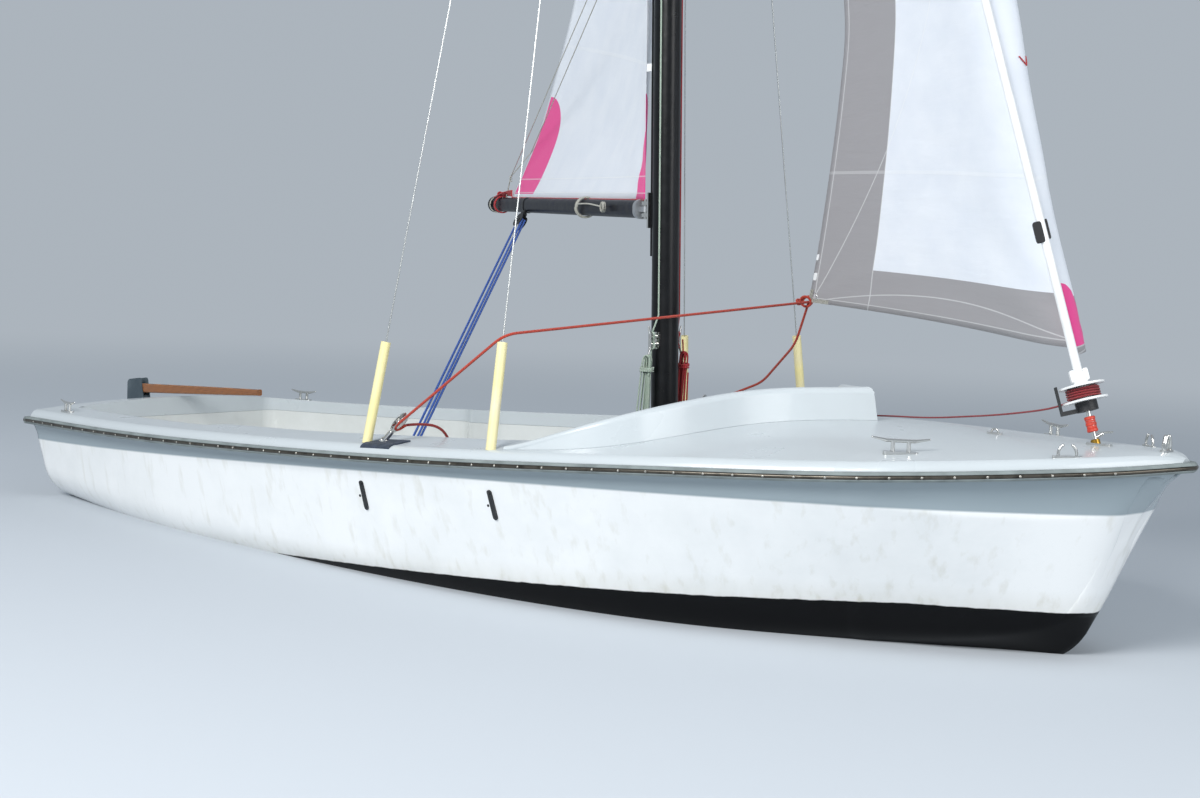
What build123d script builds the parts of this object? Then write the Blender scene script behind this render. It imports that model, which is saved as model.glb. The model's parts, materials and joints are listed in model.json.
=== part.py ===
from build123d import *
import math
import os

# Sailing dinghy, millimetres. +X forward, +Y port, +Z up.
# The origin lies on the centreline, midway along the hull, at the waterline.

# Hull sections, stern to bow. Each one is flat and passes through its sheer and keel points.
# sheer_x, sheer_half_breadth, sheer_z, keel_x, keel_z, bilge_half_breadth, bilge_z,
# bilge_radius, flare_height, flare_overhang
HULL_SECTIONS = [
    (-2300, 645, 308, -2220, -20, 585, 0, 150, 72, 26),
    (-1500, 780, 336, -1450, -105, 690, -42, 190, 56, 28),
    (-600, 885, 383, -600, -160, 745, -52, 230, 50, 30),
    (300, 905, 438, 300, -180, 705, -46, 240, 59, 32),
    (1050, 820, 492, 980, -166, 560, -24, 210, 62, 36),
    (1560, 655, 523, 1420, -120, 350, 10, 150, 76, 40),
    (1860, 484, 546, 1720, -72, 215, 45, 100, 116, 48),
    (2040, 342, 562, 1900, -28, 125, 85, 60, 131, 52),
    (2140, 245, 571, 2010, 30, 75, 135, 36, 134, 47),
    (2200, 172, 577, 2060, 135, 44, 215, 18, 126, 38),
    (2245, 112, 583, 2100, 300, 30, 350, 12, 104, 30),
    (2278, 62, 587, 2155, 450, 18, 475, 7, 72, 22),
    (2300, 24, 590, 2220, 532, 8, 540, 3, 38, 10),
]
# The hull is lofted in two runs that meet at this row, each through evenly spaced sections.
BOW_ROW = 5
SECTIONS_PER_RUN = 10

# Deck
DECK_EDGE_HEIGHT = 43
DECK_SIDE_HEIGHT = 16
DECK_SHOULDER = 44
# Clearance where curved mouldings and strips lie on each other
BEDDING = 0.4
# half breadth at which the deck's edge starts to sink towards the nose
NOSE_ROUND = 200
# camber of the deck's crown over its edges: x, height
CAMBER = [
    (-2300, 28), (-600, 34), (600, 66), (1240, 80), (1560, 57), (1860, 34), (2140, 11), (2300, 3),
]

# Rub rail: a rubber strip round the sheer, with a metal insert in its groove
RAIL_PROUD = 22
RAIL_HALF_HEIGHT = 14
GROOVE_DEPTH = 4
GROOVE_HALF_HEIGHT = 6
INSERT_PROUD = 3
# the strip's distance from the mouldings' edge, and what it gains where its two runs meet
RAIL_GAP = 1
RAIL_EASE = 2.2

# Cockpit
LINER = 8
BENCH_Z = 190
SOLE_Z = 30
# half of the opening's outline, stern to bow: x, half breadth, corner radius
OPENING = [
    (-2185, 0, 0), (-2185, 525, 70), (-1120, 700, 90), (-1070, 648, 60), (-500, 700, 400),
    (330, 715, 400), (700, 690, 120), (880, 500, 150), (960, 270, 150), (1060, 110, 60), (1130, 0, 0),
]
# half of the foot well's outline between the benches
FOOT_WELL = [(-2110, 0, 0), (-2110, 300, 60), (330, 350, 200), (800, 300, 100), (900, 0, 0)]

# Spray coaming: outer foot x, half breadth, height over the deck, thickness at the foot
COAMING = [
    (1298, 0, 103, 105), (1150, 124, 101, 84), (1028, 290, 102, 84), (940, 540, 98, 80),
    (820, 730, 84, 70), (660, 820, 49, 52), (492, 852, 11, 24),
]
COAMING_SUNK = 30

# Mast, raked aft
MAST_STEP = (474, 0, 44)
MAST_HEAD_Z = 6250
MAST_RAKE = 0.049
MAST_HALF_LENGTH = 48
MAST_HALF_WIDTH = 44
TRACK_DEPTH = 12
TRACK_WIDTH = 18
TRACK_FOOT_Z = 1100
HOUNDS_Z = 5660
MAST_CAP = 8
CRANE_LENGTH = 105

# Boom and mainsail
BOOM_Z = 1255
BOOM_ANGLE = 35
# slope of the boom over a plane square to the mast, degrees
BOOM_RISE = 2.8
BOOM_LENGTH = 2440
BOOM_HEIGHT = 62
BOOM_WIDTH = 46
PIVOT_BEHIND_MAST = 88
PIN_RADIUS = 6
SAIL_THICKNESS = 3
LUFF_GAP = 9
SLIDE_SPACING = 470
# mainsail sections: height over the boom's pivot, chord, twist in degrees, camber over chord
MAIN_SECTIONS = [
    (31.2, 2100, 0, 0.004), (900, 1790, 6.6, 0.075), (1900, 1390, 7.5, 0.07),
    (2900, 930, 8.5, 0.06), (3800, 410, 9, 0.05), (4300, 95, 9, 0.03),
]

# Jib and its furler, on the raked stay
STAY_FOOT = (2022, 0, 640)
STAY_SLOPE = -0.3486
JIB_ANGLE = 24.7
# jib sections: distance along the stay, chord, twist in degrees, camber over chord, rise of the leech
JIB_SECTIONS = [
    (300, 1316, 0, 0.06, 453), (1500, 940, 9.4, 0.09, 119), (2700, 620, 12.5, 0.09, 70),
    (3900, 250, 14, 0.07, 25), (4650, 40, 14, 0.03, 0),
]
FOIL_TOP = 5000
FOIL_RADIUS = 13
SWIVEL_TOP = 5070

# Shrouds: x and half breadth of their feet on the deck's edge
SHROUD_FEET = [(-110, 850), (445, 856)]
COVER_RADIUS = 16
COVER_BORE = 11
COVER_LENGTH = 335
WIRE_RADIUS = 2.5
STRAP_LENGTH = 104
STRAP_BELOW_SHEER = 130
STRAP_WIDTH = 18
STRAP_THICKNESS = 4

# Deck fittings: x and half breadth on the deck, heading in degrees where they have one
FORE_CLEAT = (1660, 470, -34)
AFT_CLEAT = (-2080, 622, 12)
BOW_CHOCK = (2070, 268, -44)
STEM_CHOCK_X = 2240
DECK_EYE_X = 1700
FURLING_CLEAT = (330, 800, 4)
# rubber pads under the sheet blocks: ends, inner and outer half breadth, thickness
PAD = (-86, 46, 806, 902, 5)
# sheet blocks: x and half breadth of their eyes, then the way to the block's sheave
SHEET_EYE = (-40, 842)
SHEET_PULL = (50, -28, 72)
CHEEK_LENGTH = 74
CHEEK_WIDTH = 36
# mainsheet: place of the lower block on the case, and of the upper one along the boom
SHEET_FOOT_X = -800
BOOM_BLOCK_ALONG = 1785
HALYARD_CLEAT_Z = 815

# Ropes that hang free: hanks of the halyards' tails by the mast, and the tails of the jib sheets
# hanks: side, offset aft of the mast, offset from its centre, height of the top, length, width, depth
HANKS = [(-1, 30, 72, 768, 262, 54, 26), (1, -6, 70, 776, 250, 44, 26)]
TAIL_RADIUS = 4.5
# a jib sheet's tail, from its block over the cockpit's edge and along the bench: x, half breadth, z
TAIL_ROUTE = [
    (9, 792, 521), (44, 746, 528), (76, 694, 514), (90, 664, 462), (92, 655, 400), (89, 650, 330),
    (78, 642, 262), (40, 622, 212), (-30, 596, 203), (-105, 588, 203), (-180, 596, 203),
    (-255, 582, 203), (-325, 548, 203), (-395, 536, 203), (-470, 548, 203),
]

# Rudder: sizes along its raked axis, aft of it and above the sheer
RUDDER_OFFSET = 58
CHEEK_GAP = 30
CHEEK_THICKNESS = 4
GUDGEON_HEIGHTS = (-70, -215)
TILLER_LENGTH = 860
BLADE_PIVOT = (66, -190)
BLADE_THICKNESS = 20

# Centreboard and its case
BOARD_PIVOT = (270, 0, -60)
BOARD_DEPTH = 860
BOARD_THICKNESS = 22
SLOT_WIDTH = 34
SLOT_AFT = -700
SLOT_FORE = 345
CASE_WALL = 12
CASE_TOP = 235
CASE_AFT = -880


def blend_table(table, x):
    """Straight-line value of a table of (x, value) rows."""
    if x <= table[0][0]:
        return table[0][1]
    for (x0, v0), (x1, v1) in zip(table, table[1:]):
        if x <= x1:
            return v0 + (v1 - v0) * (x - x0) / (x1 - x0)
    return table[-1][1]


def row_distances(rows):
    """Distance of each hull section from the first, the mean of its sheer's and its keel's."""
    distances = [0.0]
    for a, b in zip(rows, rows[1:]):
        distances.append(distances[-1] + (math.dist(a[:3], b[:3]) + math.dist(a[3:5], b[3:5])) / 2)
    return distances


def slopes(distances, values):
    """Slope at each point of the smooth curve through the points."""
    steps = [b - a for a, b in zip(distances, distances[1:])]
    secants = [(b - a) / step for a, b, step in zip(values, values[1:], steps)]
    inner = [
        (secants[i - 1] * steps[i] + secants[i] * steps[i - 1]) / (steps[i - 1] + steps[i])
        for i in range(1, len(steps))
    ]
    return [secants[0]] + inner + [secants[-1]]


def smooth_row(rows, distances, at):
    """The hull section at a distance along the boat, by a cubic between its two neighbours."""
    i = max(k for k in range(len(distances) - 1) if distances[k] <= at + 1e-6)
    step = distances[i + 1] - distances[i]
    w = (at - distances[i]) / step
    row = []
    for column in range(len(rows[0])):
        values = [r[column] for r in rows]
        m = slopes(distances, values)
        start = values[i] * (1 + 2 * w) * (1 - w) ** 2 + m[i] * step * w * (1 - w) ** 2
        end = values[i + 1] * w * w * (3 - 2 * w) + m[i + 1] * step * w * w * (w - 1)
        row.append(start + end)
    return tuple(row)


def smooth_rows(first, last, count):
    """Evenly spaced hull sections from one table row to another."""
    distances = row_distances(HULL_SECTIONS)
    span = distances[last] - distances[first]
    spots = [distances[first] + span * k / (count - 1) for k in range(count)]
    return [smooth_row(HULL_SECTIONS, distances, spot) for spot in spots]


def unit(x, y):
    length = math.hypot(x, y)
    return x / length, y / length


def corner_arc(a, b, c, radius):
    """Start, middle and end of the arc that rounds corner b of the path a, b, c."""
    u = unit(a[0] - b[0], a[1] - b[1])
    v = unit(c[0] - b[0], c[1] - b[1])
    half = math.acos(max(-1, min(1, u[0] * v[0] + u[1] * v[1]))) / 2
    reach = radius / math.tan(half)
    w = unit(u[0] + v[0], u[1] + v[1])
    depth = radius / math.sin(half) - radius
    return (
        (b[0] + u[0] * reach, b[1] + u[1] * reach),
        (b[0] + w[0] * depth, b[1] + w[1] * depth),
        (b[0] + v[0] * reach, b[1] + v[1] * reach),
    )


def closed_face(edges):
    return Face(Wire(edges))


def mirrored(points):
    return [(-u, v) for u, v in reversed(points)]


def both_sides(shape):
    return shape + mirror(shape, about=Plane.XZ)


def rod(a, b, radius):
    """Round bar from a to b."""
    a, b = Vector(a), Vector(b)
    return extrude(Plane(origin=a, z_dir=b - a) * Circle(radius), amount=(b - a).length)


def hull_section(row):
    """Keel, bottom line, bilge arc, topside line and hollow flare to the sheer."""
    sheer_x, b_sheer, z_sheer, keel_x, z_keel, b_bilge, z_bilge, r_bilge, flare, overhang = row
    dx, dz = sheer_x - keel_x, z_sheer - z_keel
    depth = math.hypot(dx, dz)
    plane = Plane(origin=(keel_x, 0, z_keel), x_dir=(0, 1, 0), z_dir=(dz, 0, -dx))
    scale = depth / dz
    keel = (0, 0)
    bilge = (b_bilge, (z_bilge - z_keel) * scale)
    knuckle = (b_sheer - overhang, depth - flare * scale)
    sheer = (b_sheer, depth)
    start, middle, end = corner_arc(keel, bilge, knuckle, r_bilge)
    hollow = (b_sheer - overhang * 0.72, depth - flare * scale * 0.46)
    edges = [
        Line(keel, start),
        ThreePointArc(start, middle, end),
        Line(end, knuckle),
        ThreePointArc(knuckle, hollow, sheer),
        Line(sheer, (-sheer[0], sheer[1])),
        ThreePointArc(*mirrored([knuckle, hollow, sheer])),
        Line(*mirrored([end, knuckle])),
        ThreePointArc(*mirrored([start, middle, end])),
        Line(*mirrored([keel, start])),
    ]
    return plane * closed_face(edges)


def deck_section(row):
    """Edge, rounded shoulder and crown of the deck over one hull section."""
    x, b, z = row[:3]
    fullness = math.sqrt(1 - (1 - min(1, b / NOSE_ROUND)) ** 2)
    top = DECK_EDGE_HEIGHT * fullness
    low = DECK_SIDE_HEIGHT * fullness
    shoulder = min(DECK_SHOULDER, 0.45 * b)
    crown = top + blend_table(CAMBER, x)
    round_over = [(b, low), (b - shoulder * 0.3, low + (top - low) * 0.7), (b - shoulder, top)]
    edges = [
        Line((b, BEDDING), (b, low)),
        ThreePointArc(*round_over),
        ThreePointArc((b - shoulder, top), (0, crown), (shoulder - b, top)),
        ThreePointArc(*mirrored(round_over)),
        Line((-b, low), (-b, BEDDING)),
        Line((-b, BEDDING), (b, BEDDING)),
    ]
    plane = Plane(origin=(x, 0, z), x_dir=(0, 1, 0), z_dir=(1, 0, 0))
    return plane * closed_face(edges)


def sheer_frames(rows, nose):
    """Planes square to the port sheer: first axis outwards, second axis up."""
    spots = [(row[0], row[1], row[2]) for row in rows]
    if nose:
        spots.append((rows[-1][0] + 6, 0, rows[-1][2]))
    frames = []
    for i, spot in enumerate(spots):
        before, after = spots[max(i - 1, 0)], spots[min(i + 1, len(spots) - 1)]
        run = unit(after[0] - before[0], after[1] - before[1])
        if nose and i == len(spots) - 1:
            run = (0, -1)
        if (i == 0 and nose) or (i == len(spots) - 1 and not nose):
            joint = [unit(b[0] - a[0], b[1] - a[1]) for a, b in zip(JOINT_SPOTS, JOINT_SPOTS[1:])]
            run = unit(joint[0][0] + joint[1][0], joint[0][1] + joint[1][1])
        outward = Vector(-run[1], run[0], 0)
        at_joint = i < 2 if nose else i == len(spots) - 1
        origin = Vector(*spot) + outward * (RAIL_EASE if at_joint else 0)
        frames.append(Plane(origin=origin, x_dir=outward, z_dir=outward.cross(Vector(0, 0, 1))))
    return frames


def rail_profile():
    """Rubber strip with a groove along its outer side."""
    out, half, groove = RAIL_PROUD, RAIL_HALF_HEIGHT, GROOVE_HALF_HEIGHT
    deep = out - GROOVE_DEPTH
    snug = RAIL_GAP
    corners = [
        (snug, half), (out - 6, half), (out, groove + 2), (out, groove), (deep, groove),
        (deep, -groove), (out, -groove), (out, -groove - 2), (out - 6, -half), (snug - 6, -half), (snug, 0),
    ]
    return Face(Wire(Polyline(*corners, close=True).edges()))


def insert_profile():
    """Half-round metal strip that fills the groove."""
    deep = RAIL_PROUD - GROOVE_DEPTH + BEDDING
    half = GROOVE_HALF_HEIGHT - BEDDING
    proud = RAIL_PROUD + INSERT_PROUD
    edges = [
        Line((deep, half), (deep, -half)),
        ThreePointArc((deep, -half), (proud, 0), (deep, half)),
    ]
    return closed_face(edges)


def along_sheer(profile):
    """A profile carried along both sheers, round the nose and across the transom."""
    aft = loft([frame * profile for frame in sheer_frames(MAIN_ROWS, False)])
    fore = loft([frame * profile for frame in sheer_frames(BOW_ROWS, True)])
    corner = MAIN_ROWS[0]
    across = Plane(origin=(corner[0], 0, corner[2]), x_dir=(-1, 0, 0), z_dir=(0, 1, 0))
    reach = corner[1] + RAIL_PROUD - 5
    bar = extrude(across * profile, amount=reach)
    port = (aft + bar - HULL_AFT) + fore
    return both_sides(port)


def outline(table, inset=0):
    """Closed plan outline, port and starboard, with rounded corners."""
    port = [(x, y) for x, y, r in table]
    radii = [r for x, y, r in table[1:-1]]
    tail, nose = port[0], port[-1]
    arcs = []
    for i, radius in enumerate(radii):
        arcs.append(corner_arc(port[i], port[i + 1], port[i + 2], radius))
    edges = []
    for side in (1, -1):
        last = tail
        for arc in arcs:
            start, middle, end = [(x, side * y) for x, y in arc]
            edges.append(Line(last, start))
            edges.append(ThreePointArc(start, middle, end))
            last = end
        edges.append(Line(last, nose))
    face = closed_face(edges)
    if inset:
        face = offset(face, -inset, kind=Kind.INTERSECTION)
    return face


def prism(face, low, high):
    return extrude(Pos(0, 0, low) * face, amount=high - low, dir=(0, 0, 1))


def well(inset):
    """The cockpit's space: wide over the benches, narrow between them."""
    upper = prism(outline(OPENING, inset), BENCH_Z + inset, 900)
    lower = prism(outline(FOOT_WELL, inset), SOLE_Z + inset, BENCH_Z + inset + 1)
    return upper + lower


def deck_height(x, y):
    """Height of the deck's surface."""
    body = DECK_FORE if x > MAIN_ROWS[-1][0] else DECK_AFT
    hits = body.find_intersection_points(Axis((x, y, -1000), (0, 0, 1)))
    return max(point.Z for point, normal in hits)


def seated(shape):
    """A fitting whose foot is trimmed to the deck's surface."""
    return shape - DECK_AFT - DECK_FORE


def topside(x, z):
    """The port topside's half breadth at x and z."""
    hits = HULL_AFT.find_intersection_points(Axis((x, 0, z), (0, 1, 0)))
    return max(point.Y for point, normal in hits)


def centreboard_case():
    """The slot's two sides and lid, and the solid hump aft of it that carries the sheet block."""
    length = SLOT_FORE + CASE_WALL - CASE_AFT
    outside = Pos(CASE_AFT + length / 2, 0, (SOLE_Z + LINER + CASE_TOP) / 2)
    box = outside * Box(length, SLOT_WIDTH + 2 * CASE_WALL, CASE_TOP - SOLE_Z - LINER)
    box = fillet(box.edges().filter_by(Axis.Z), 9)
    return box - centreboard_slot()


def centreboard_slot():
    low, high = -400, CASE_TOP - CASE_WALL
    middle = Pos((SLOT_FORE + SLOT_AFT) / 2, 0, (low + high) / 2)
    return middle * Box(SLOT_FORE - SLOT_AFT, SLOT_WIDTH, high - low)


def centreboard():
    """Plate on a pin, its tip rounded and its edges thinned."""
    x, _, z = BOARD_PIVOT
    plan = FilletPolyline(
        (x + 62, z + 40), (x - 236, z + 96), (x - 205, z - BOARD_DEPTH),
        (x + 10, z - BOARD_DEPTH), (x + 62, z - 200), close=True, radius=[40, 40, 60, 80, 200],
    )
    side = Plane(origin=(0, -BOARD_THICKNESS / 2, 0), x_dir=(1, 0, 0), z_dir=(0, -1, 0))
    plate = extrude(side * Face(Wire(plan.edges())), amount=-BOARD_THICKNESS)
    hole = Pos(x, 0, z) * Rot(90, 0, 0) * Cylinder(PIN_RADIUS + 0.1, 60)
    return plate - hole


def board_pin():
    x, _, z = BOARD_PIVOT
    return Pos(x, 0, z) * Rot(90, 0, 0) * Cylinder(PIN_RADIUS, SLOT_WIDTH)


def coaming_half():
    """Port half of the spray coaming, lofted along its curved foot."""
    sections = []
    for i, (x, y, height, thick) in enumerate(COAMING):
        inward = (-1, 0)
        if i > 0:
            after = COAMING[min(i + 1, len(COAMING) - 1)]
            run = unit(after[0] - COAMING[i - 1][0], after[1] - COAMING[i - 1][1])
            inward = (-abs(run[1]), -abs(run[0]))
        side = Vector(inward[0], inward[1], 0)
        origin = (x, y, deck_height(x, y) - COAMING_SUNK)
        plane = Plane(origin=origin, x_dir=side, z_dir=side.cross(Vector(0, 0, 1)))
        top = COAMING_SUNK + height
        lean, crest = thick * 0.22, thick * 0.72
        shoulder = top - 16
        edges = [
            Line((0, 0), (lean, shoulder)),
            ThreePointArc((lean, shoulder), ((lean + crest) / 2, top), (crest, shoulder)),
            Line((crest, shoulder), (thick, 0)),
            Line((thick, 0), (0, 0)),
        ]
        sections.append(plane * closed_face(edges))
    return loft(sections)


MAST_AXIS = Vector(-MAST_RAKE, 0, 1).normalized()
STAY_AXIS = Vector(STAY_SLOPE, 0, 1).normalized()


def mast_point(z):
    """Centre of the raked mast at height z."""
    return Vector(MAST_STEP[0] - MAST_RAKE * (z - MAST_STEP[2]), 0, z)


def mast_plane(z):
    return Plane(origin=mast_point(z), x_dir=(1, 0, MAST_RAKE), z_dir=MAST_AXIS)


def mast():
    """Oval tube with the sail track up its aft side."""
    foot, head = mast_point(MAST_STEP[2]), mast_point(MAST_HEAD_Z - MAST_CAP)
    oval = Ellipse(MAST_HALF_LENGTH, MAST_HALF_WIDTH)
    tube = extrude(mast_plane(MAST_STEP[2]) * oval, amount=(head - foot).length)
    strip = Pos(-MAST_HALF_LENGTH - TRACK_DEPTH / 2 + 3, 0) * Rectangle(TRACK_DEPTH + 6, TRACK_WIDTH)
    track_length = (mast_point(MAST_HEAD_Z - 60) - mast_point(TRACK_FOOT_Z)).length
    return tube + extrude(mast_plane(TRACK_FOOT_Z) * strip, amount=track_length)


def mast_step():
    """Shoe on the cockpit's sole."""
    low = SOLE_Z + LINER
    return Pos(MAST_STEP[0], 0, (low + MAST_STEP[2]) / 2) * Box(150, 120, MAST_STEP[2] - low)


def mast_collar(z, height, grow):
    """Fitting round the mast."""
    outer = Ellipse(MAST_HALF_LENGTH + grow, MAST_HALF_WIDTH + grow)
    ring = outer - Ellipse(MAST_HALF_LENGTH, MAST_HALF_WIDTH)
    slot = Pos(-MAST_HALF_LENGTH, 0) * Rectangle(2 * TRACK_DEPTH + 6, TRACK_WIDTH)
    return extrude(mast_plane(z) * (ring - slot), amount=height)


def masthead_fitting():
    """Cap on the mast, and the crane aft of it that carries the halyard's sheave."""
    low = MAST_HEAD_Z - MAST_CAP
    cap = extrude(mast_plane(low) * Ellipse(MAST_HALF_LENGTH + 3, MAST_HALF_WIDTH + 3), amount=MAST_CAP)
    frame = mast_plane(low)
    reach = MAST_HALF_LENGTH + CRANE_LENGTH / 2
    crane = frame * Pos(-reach, 0, -10) * Box(CRANE_LENGTH, 20, 36)
    crane = fillet(crane.edges().filter_by(Axis.Y), 8)
    slot = frame * Pos(-reach - 12, 0, -10) * Box(CRANE_LENGTH - 24, 12, 40)
    sheave = frame * Pos(-reach - 20, 0, -10) * Rot(90, 0, 0) * Cylinder(15, 12.5)
    return cap + (crane - slot) + sheave - mast()


def halyard_cleats():
    """A cleat on each side of the mast for its halyard."""
    pieces = []
    for side in (-1, 1):
        centre = mast_point(HALYARD_CLEAT_Z) + Vector(0, side * (MAST_HALF_WIDTH + 2), 0)
        frame = Plane(origin=centre, x_dir=MAST_AXIS, z_dir=(0, side, 0))
        pieces.append(frame * cleat(92) - mast())
    return Compound(children=pieces)


def halyard_hank(row):
    """Outer shape of a halyard's tail, made up in long turns and hung beside the mast."""
    side, aft, out, top, length, width, depth = row
    centre = mast_point(top - length / 2) + Vector(-aft, side * out, 0)
    frame = Plane(origin=centre - Vector(0, depth / 2, 0), x_dir=(1, 0, 0), z_dir=(0, 1, 0))
    hank = extrude(frame * SlotOverall(length, width, rotation=90), amount=depth)
    return fillet(hank.edges(), depth * 0.4)


def shroud_top(side, order):
    """Where a shroud meets its tang."""
    base = mast_point(HOUNDS_Z - 20 - 30 * order)
    return base + Vector(0, side * (MAST_HALF_WIDTH + 14), 0)


def hounds():
    """Collar with a tang for each shroud and an eye for the stay."""
    collar = mast_collar(HOUNDS_Z - 60, 80, 4)
    tangs = []
    for side in (-1, 1):
        centre = mast_point(HOUNDS_Z - 32) + Vector(0, side * (MAST_HALF_WIDTH + 9), 0)
        tangs.append(Pos(*centre) * Box(26, 18, 60))
    eye = rod(mast_point(HOUNDS_Z - 6) + Vector(MAST_HALF_LENGTH, 0, 0), stay_top() + Vector(6, 0, -6), 8)
    return collar + tangs + eye - mast()


def stay_top():
    rise = HOUNDS_Z - 6 - STAY_FOOT[2]
    return Vector(STAY_FOOT[0] + STAY_SLOPE * rise, 0, HOUNDS_Z - 6)


def stay_point(along):
    return Vector(*STAY_FOOT) + STAY_AXIS * along


def stay_disc(low, high, radius):
    return rod(stay_point(low), stay_point(high), radius)


def shroud_foot(x, y, side):
    return Vector(x, side * y, deck_height(x, y) - 3)


def shrouds():
    """Covers over the rigging screws, and the wires above them."""
    covers, wires = [], []
    fitting = hounds()
    for order, (x, y) in enumerate(SHROUD_FEET):
        for side in (-1, 1):
            foot = shroud_foot(x, y, side)
            top = shroud_top(side, 1 - order)
            line = (top - foot).normalized()
            cap = foot + line * COVER_LENGTH
            tube = rod(foot, cap, COVER_RADIUS) - rod(cap - line * 60, cap + line, COVER_BORE)
            covers.append(seated(tube))
            wires.append(rod(cap - line * 60, top, WIRE_RADIUS) - fitting)
    return Compound(children=covers), Compound(children=wires)


def straps():
    """Round-ended chainplate straps on the topsides, under the rail."""
    shape = SlotOverall(STRAP_LENGTH, STRAP_WIDTH, rotation=90)
    pieces = []
    for x, _ in SHROUD_FEET:
        z = blend_table([(row[0], row[2]) for row in HULL_SECTIONS], x) - STRAP_BELOW_SHEER
        low, high = z - STRAP_LENGTH / 2, z + STRAP_LENGTH / 2
        lean = Vector(0, topside(x, high) - topside(x, low), high - low).normalized()
        out = Vector(0, lean.Z, -lean.Y)
        origin = Vector(x, (topside(x, high) + topside(x, low)) / 2, z)
        plane = Plane(origin=origin, x_dir=out.cross(lean) * -1, z_dir=out)
        piece = extrude(plane.offset(-2) * shape, amount=STRAP_THICKNESS + 2) - HULL_AFT
        pieces += [piece, mirror(piece, about=Plane.XZ)]
    return Compound(children=pieces)


def boom_pivot():
    return mast_point(BOOM_Z) + Vector(-PIVOT_BEHIND_MAST, 0, 0)


def boom_direction(twist=0):
    angle = math.radians(BOOM_ANGLE + twist)
    rise = math.radians(BOOM_RISE)
    aft = Vector(-MAST_AXIS.Z, 0, MAST_AXIS.X)
    square = aft * math.cos(angle) + Vector(0, math.sin(angle), 0)
    return square * math.cos(rise) + MAST_AXIS * math.sin(rise)


def boom_plane(along):
    """Plane square to the boom: first axis across it, second axis up."""
    out = boom_direction()
    return Plane(origin=boom_pivot() + out * along, x_dir=MAST_AXIS.cross(out).normalized(), z_dir=out)


def boom():
    section = SlotOverall(BOOM_HEIGHT, BOOM_WIDTH, rotation=90)
    return extrude(boom_plane(74) * section, amount=BOOM_LENGTH - 74)


def boom_casting():
    """Cap on the boom's end with an eye for the pivot pin."""
    cap = extrude(boom_plane(40) * SlotOverall(BOOM_HEIGHT + 6, BOOM_WIDTH + 6, rotation=90), amount=34)
    tongue = extrude(boom_plane(8) * Rectangle(24, 18), amount=34)
    ring = Plane(origin=boom_pivot() - MAST_AXIS * 9, z_dir=MAST_AXIS)
    eye = extrude(ring * Circle(15), amount=18)
    hole = extrude(ring * Circle(PIN_RADIUS + 0.1), amount=18)
    return cap + tongue + eye - hole


def gooseneck():
    """Plate on the mast, two lugs and the pin that the boom turns on."""
    pivot = boom_pivot()
    plate_at = mast_plane(BOOM_Z - 60)
    back = -MAST_HALF_LENGTH - TRACK_DEPTH
    plate = extrude(plate_at * Pos(back - 3, 0) * Rectangle(6, 44), amount=120)
    lugs = []
    reach = PIVOT_BEHIND_MAST + back
    for low in (-26, 14):
        base = Plane(origin=pivot + MAST_AXIS * low, x_dir=(1, 0, MAST_RAKE), z_dir=MAST_AXIS)
        tab = base * (Circle(14) + Pos(reach / 2, 0) * Rectangle(reach, 28))
        lugs.append(extrude(tab, amount=12))
    pin = rod(pivot - MAST_AXIS * 34, pivot + MAST_AXIS * 34, PIN_RADIUS)
    return plate + lugs + pin


def block(frame, length, width, gap):
    """Block in a frame whose Z runs to the rope: eye, two oval cheeks and a grooved sheave."""
    middle = length * 0.6
    cheeks = []
    for low in (-gap / 2 - 2.5, gap / 2):
        side = Plane(origin=(0, low, middle), x_dir=(1, 0, 0), z_dir=(0, 1, 0))
        cheeks.append(extrude(side * Ellipse(width / 2, length / 2), amount=2.5))
    turn = Pos(0, 0, middle) * Rot(90, 0, 0)
    sheave = turn * Cylinder(width * 0.36, gap) + turn * Cylinder(width * 0.2, gap + 9)
    groove = turn * Torus(width * 0.4, gap * 0.3)
    neck = Pos(0, 0, length * 0.07) * Cylinder(gap * 0.55, length * 0.2)
    web = Pos(0, 0, length * 0.17) * Box(width * 0.3, gap + 5, 5)
    return frame * (neck + web + cheeks + (sheave - groove))


def sheet_blocks():
    """Jib sheet blocks, each standing on the shackle and spring of its deck eye."""
    x, y = SHEET_EYE
    foot = Vector(x, y, deck_height(x, y) + PAD[4])
    pull = Vector(*SHEET_PULL)
    eye = Plane(origin=foot, x_dir=(1, 0, 0)) * (Pos(0, 0, 1) * Cylinder(15, 4) + Rot(90, 0, 0) * Torus(11, 3))
    sleeve = rod(foot + pull * 0.08, foot + pull * 0.44, 9)
    frame = Plane(origin=foot + pull * 0.4, x_dir=pull.cross(Vector(0, 1, 0)).cross(pull), z_dir=pull)
    whole = eye + sleeve + block(frame, CHEEK_LENGTH, CHEEK_WIDTH, 11)
    whole = whole - sheet_pad() - DECK_AFT
    return Compound(children=[whole, mirror(whole, about=Plane.XZ)])


def sheet_pad():
    """Rubber pad that follows the deck's rounded edge."""
    aft, fore, inner, outer, thick = PAD
    box = Pos((aft + fore) / 2, (inner + outer) / 2, 500) * Box(fore - aft, outer - inner, 400)
    return (Pos(0, 0, thick) * DECK_AFT & box) - DECK_AFT


def mainsheet_block():
    """Block on its swivel, on the hump at the aft end of the case."""
    foot = Vector(SHEET_FOOT_X, 0, CASE_TOP)
    base = Pos(*foot) * Pos(0, 0, 3) * Cylinder(24, 6) + rod(foot, foot + Vector(0, 0, 24), 9)
    pull = boom_pivot() + boom_direction() * BOOM_BLOCK_ALONG - foot
    frame = Plane(origin=foot + Vector(0, 0, 20), x_dir=Vector(0, 1, 0).cross(pull), z_dir=pull)
    return base + block(frame, 82, 50, 26)


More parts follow.
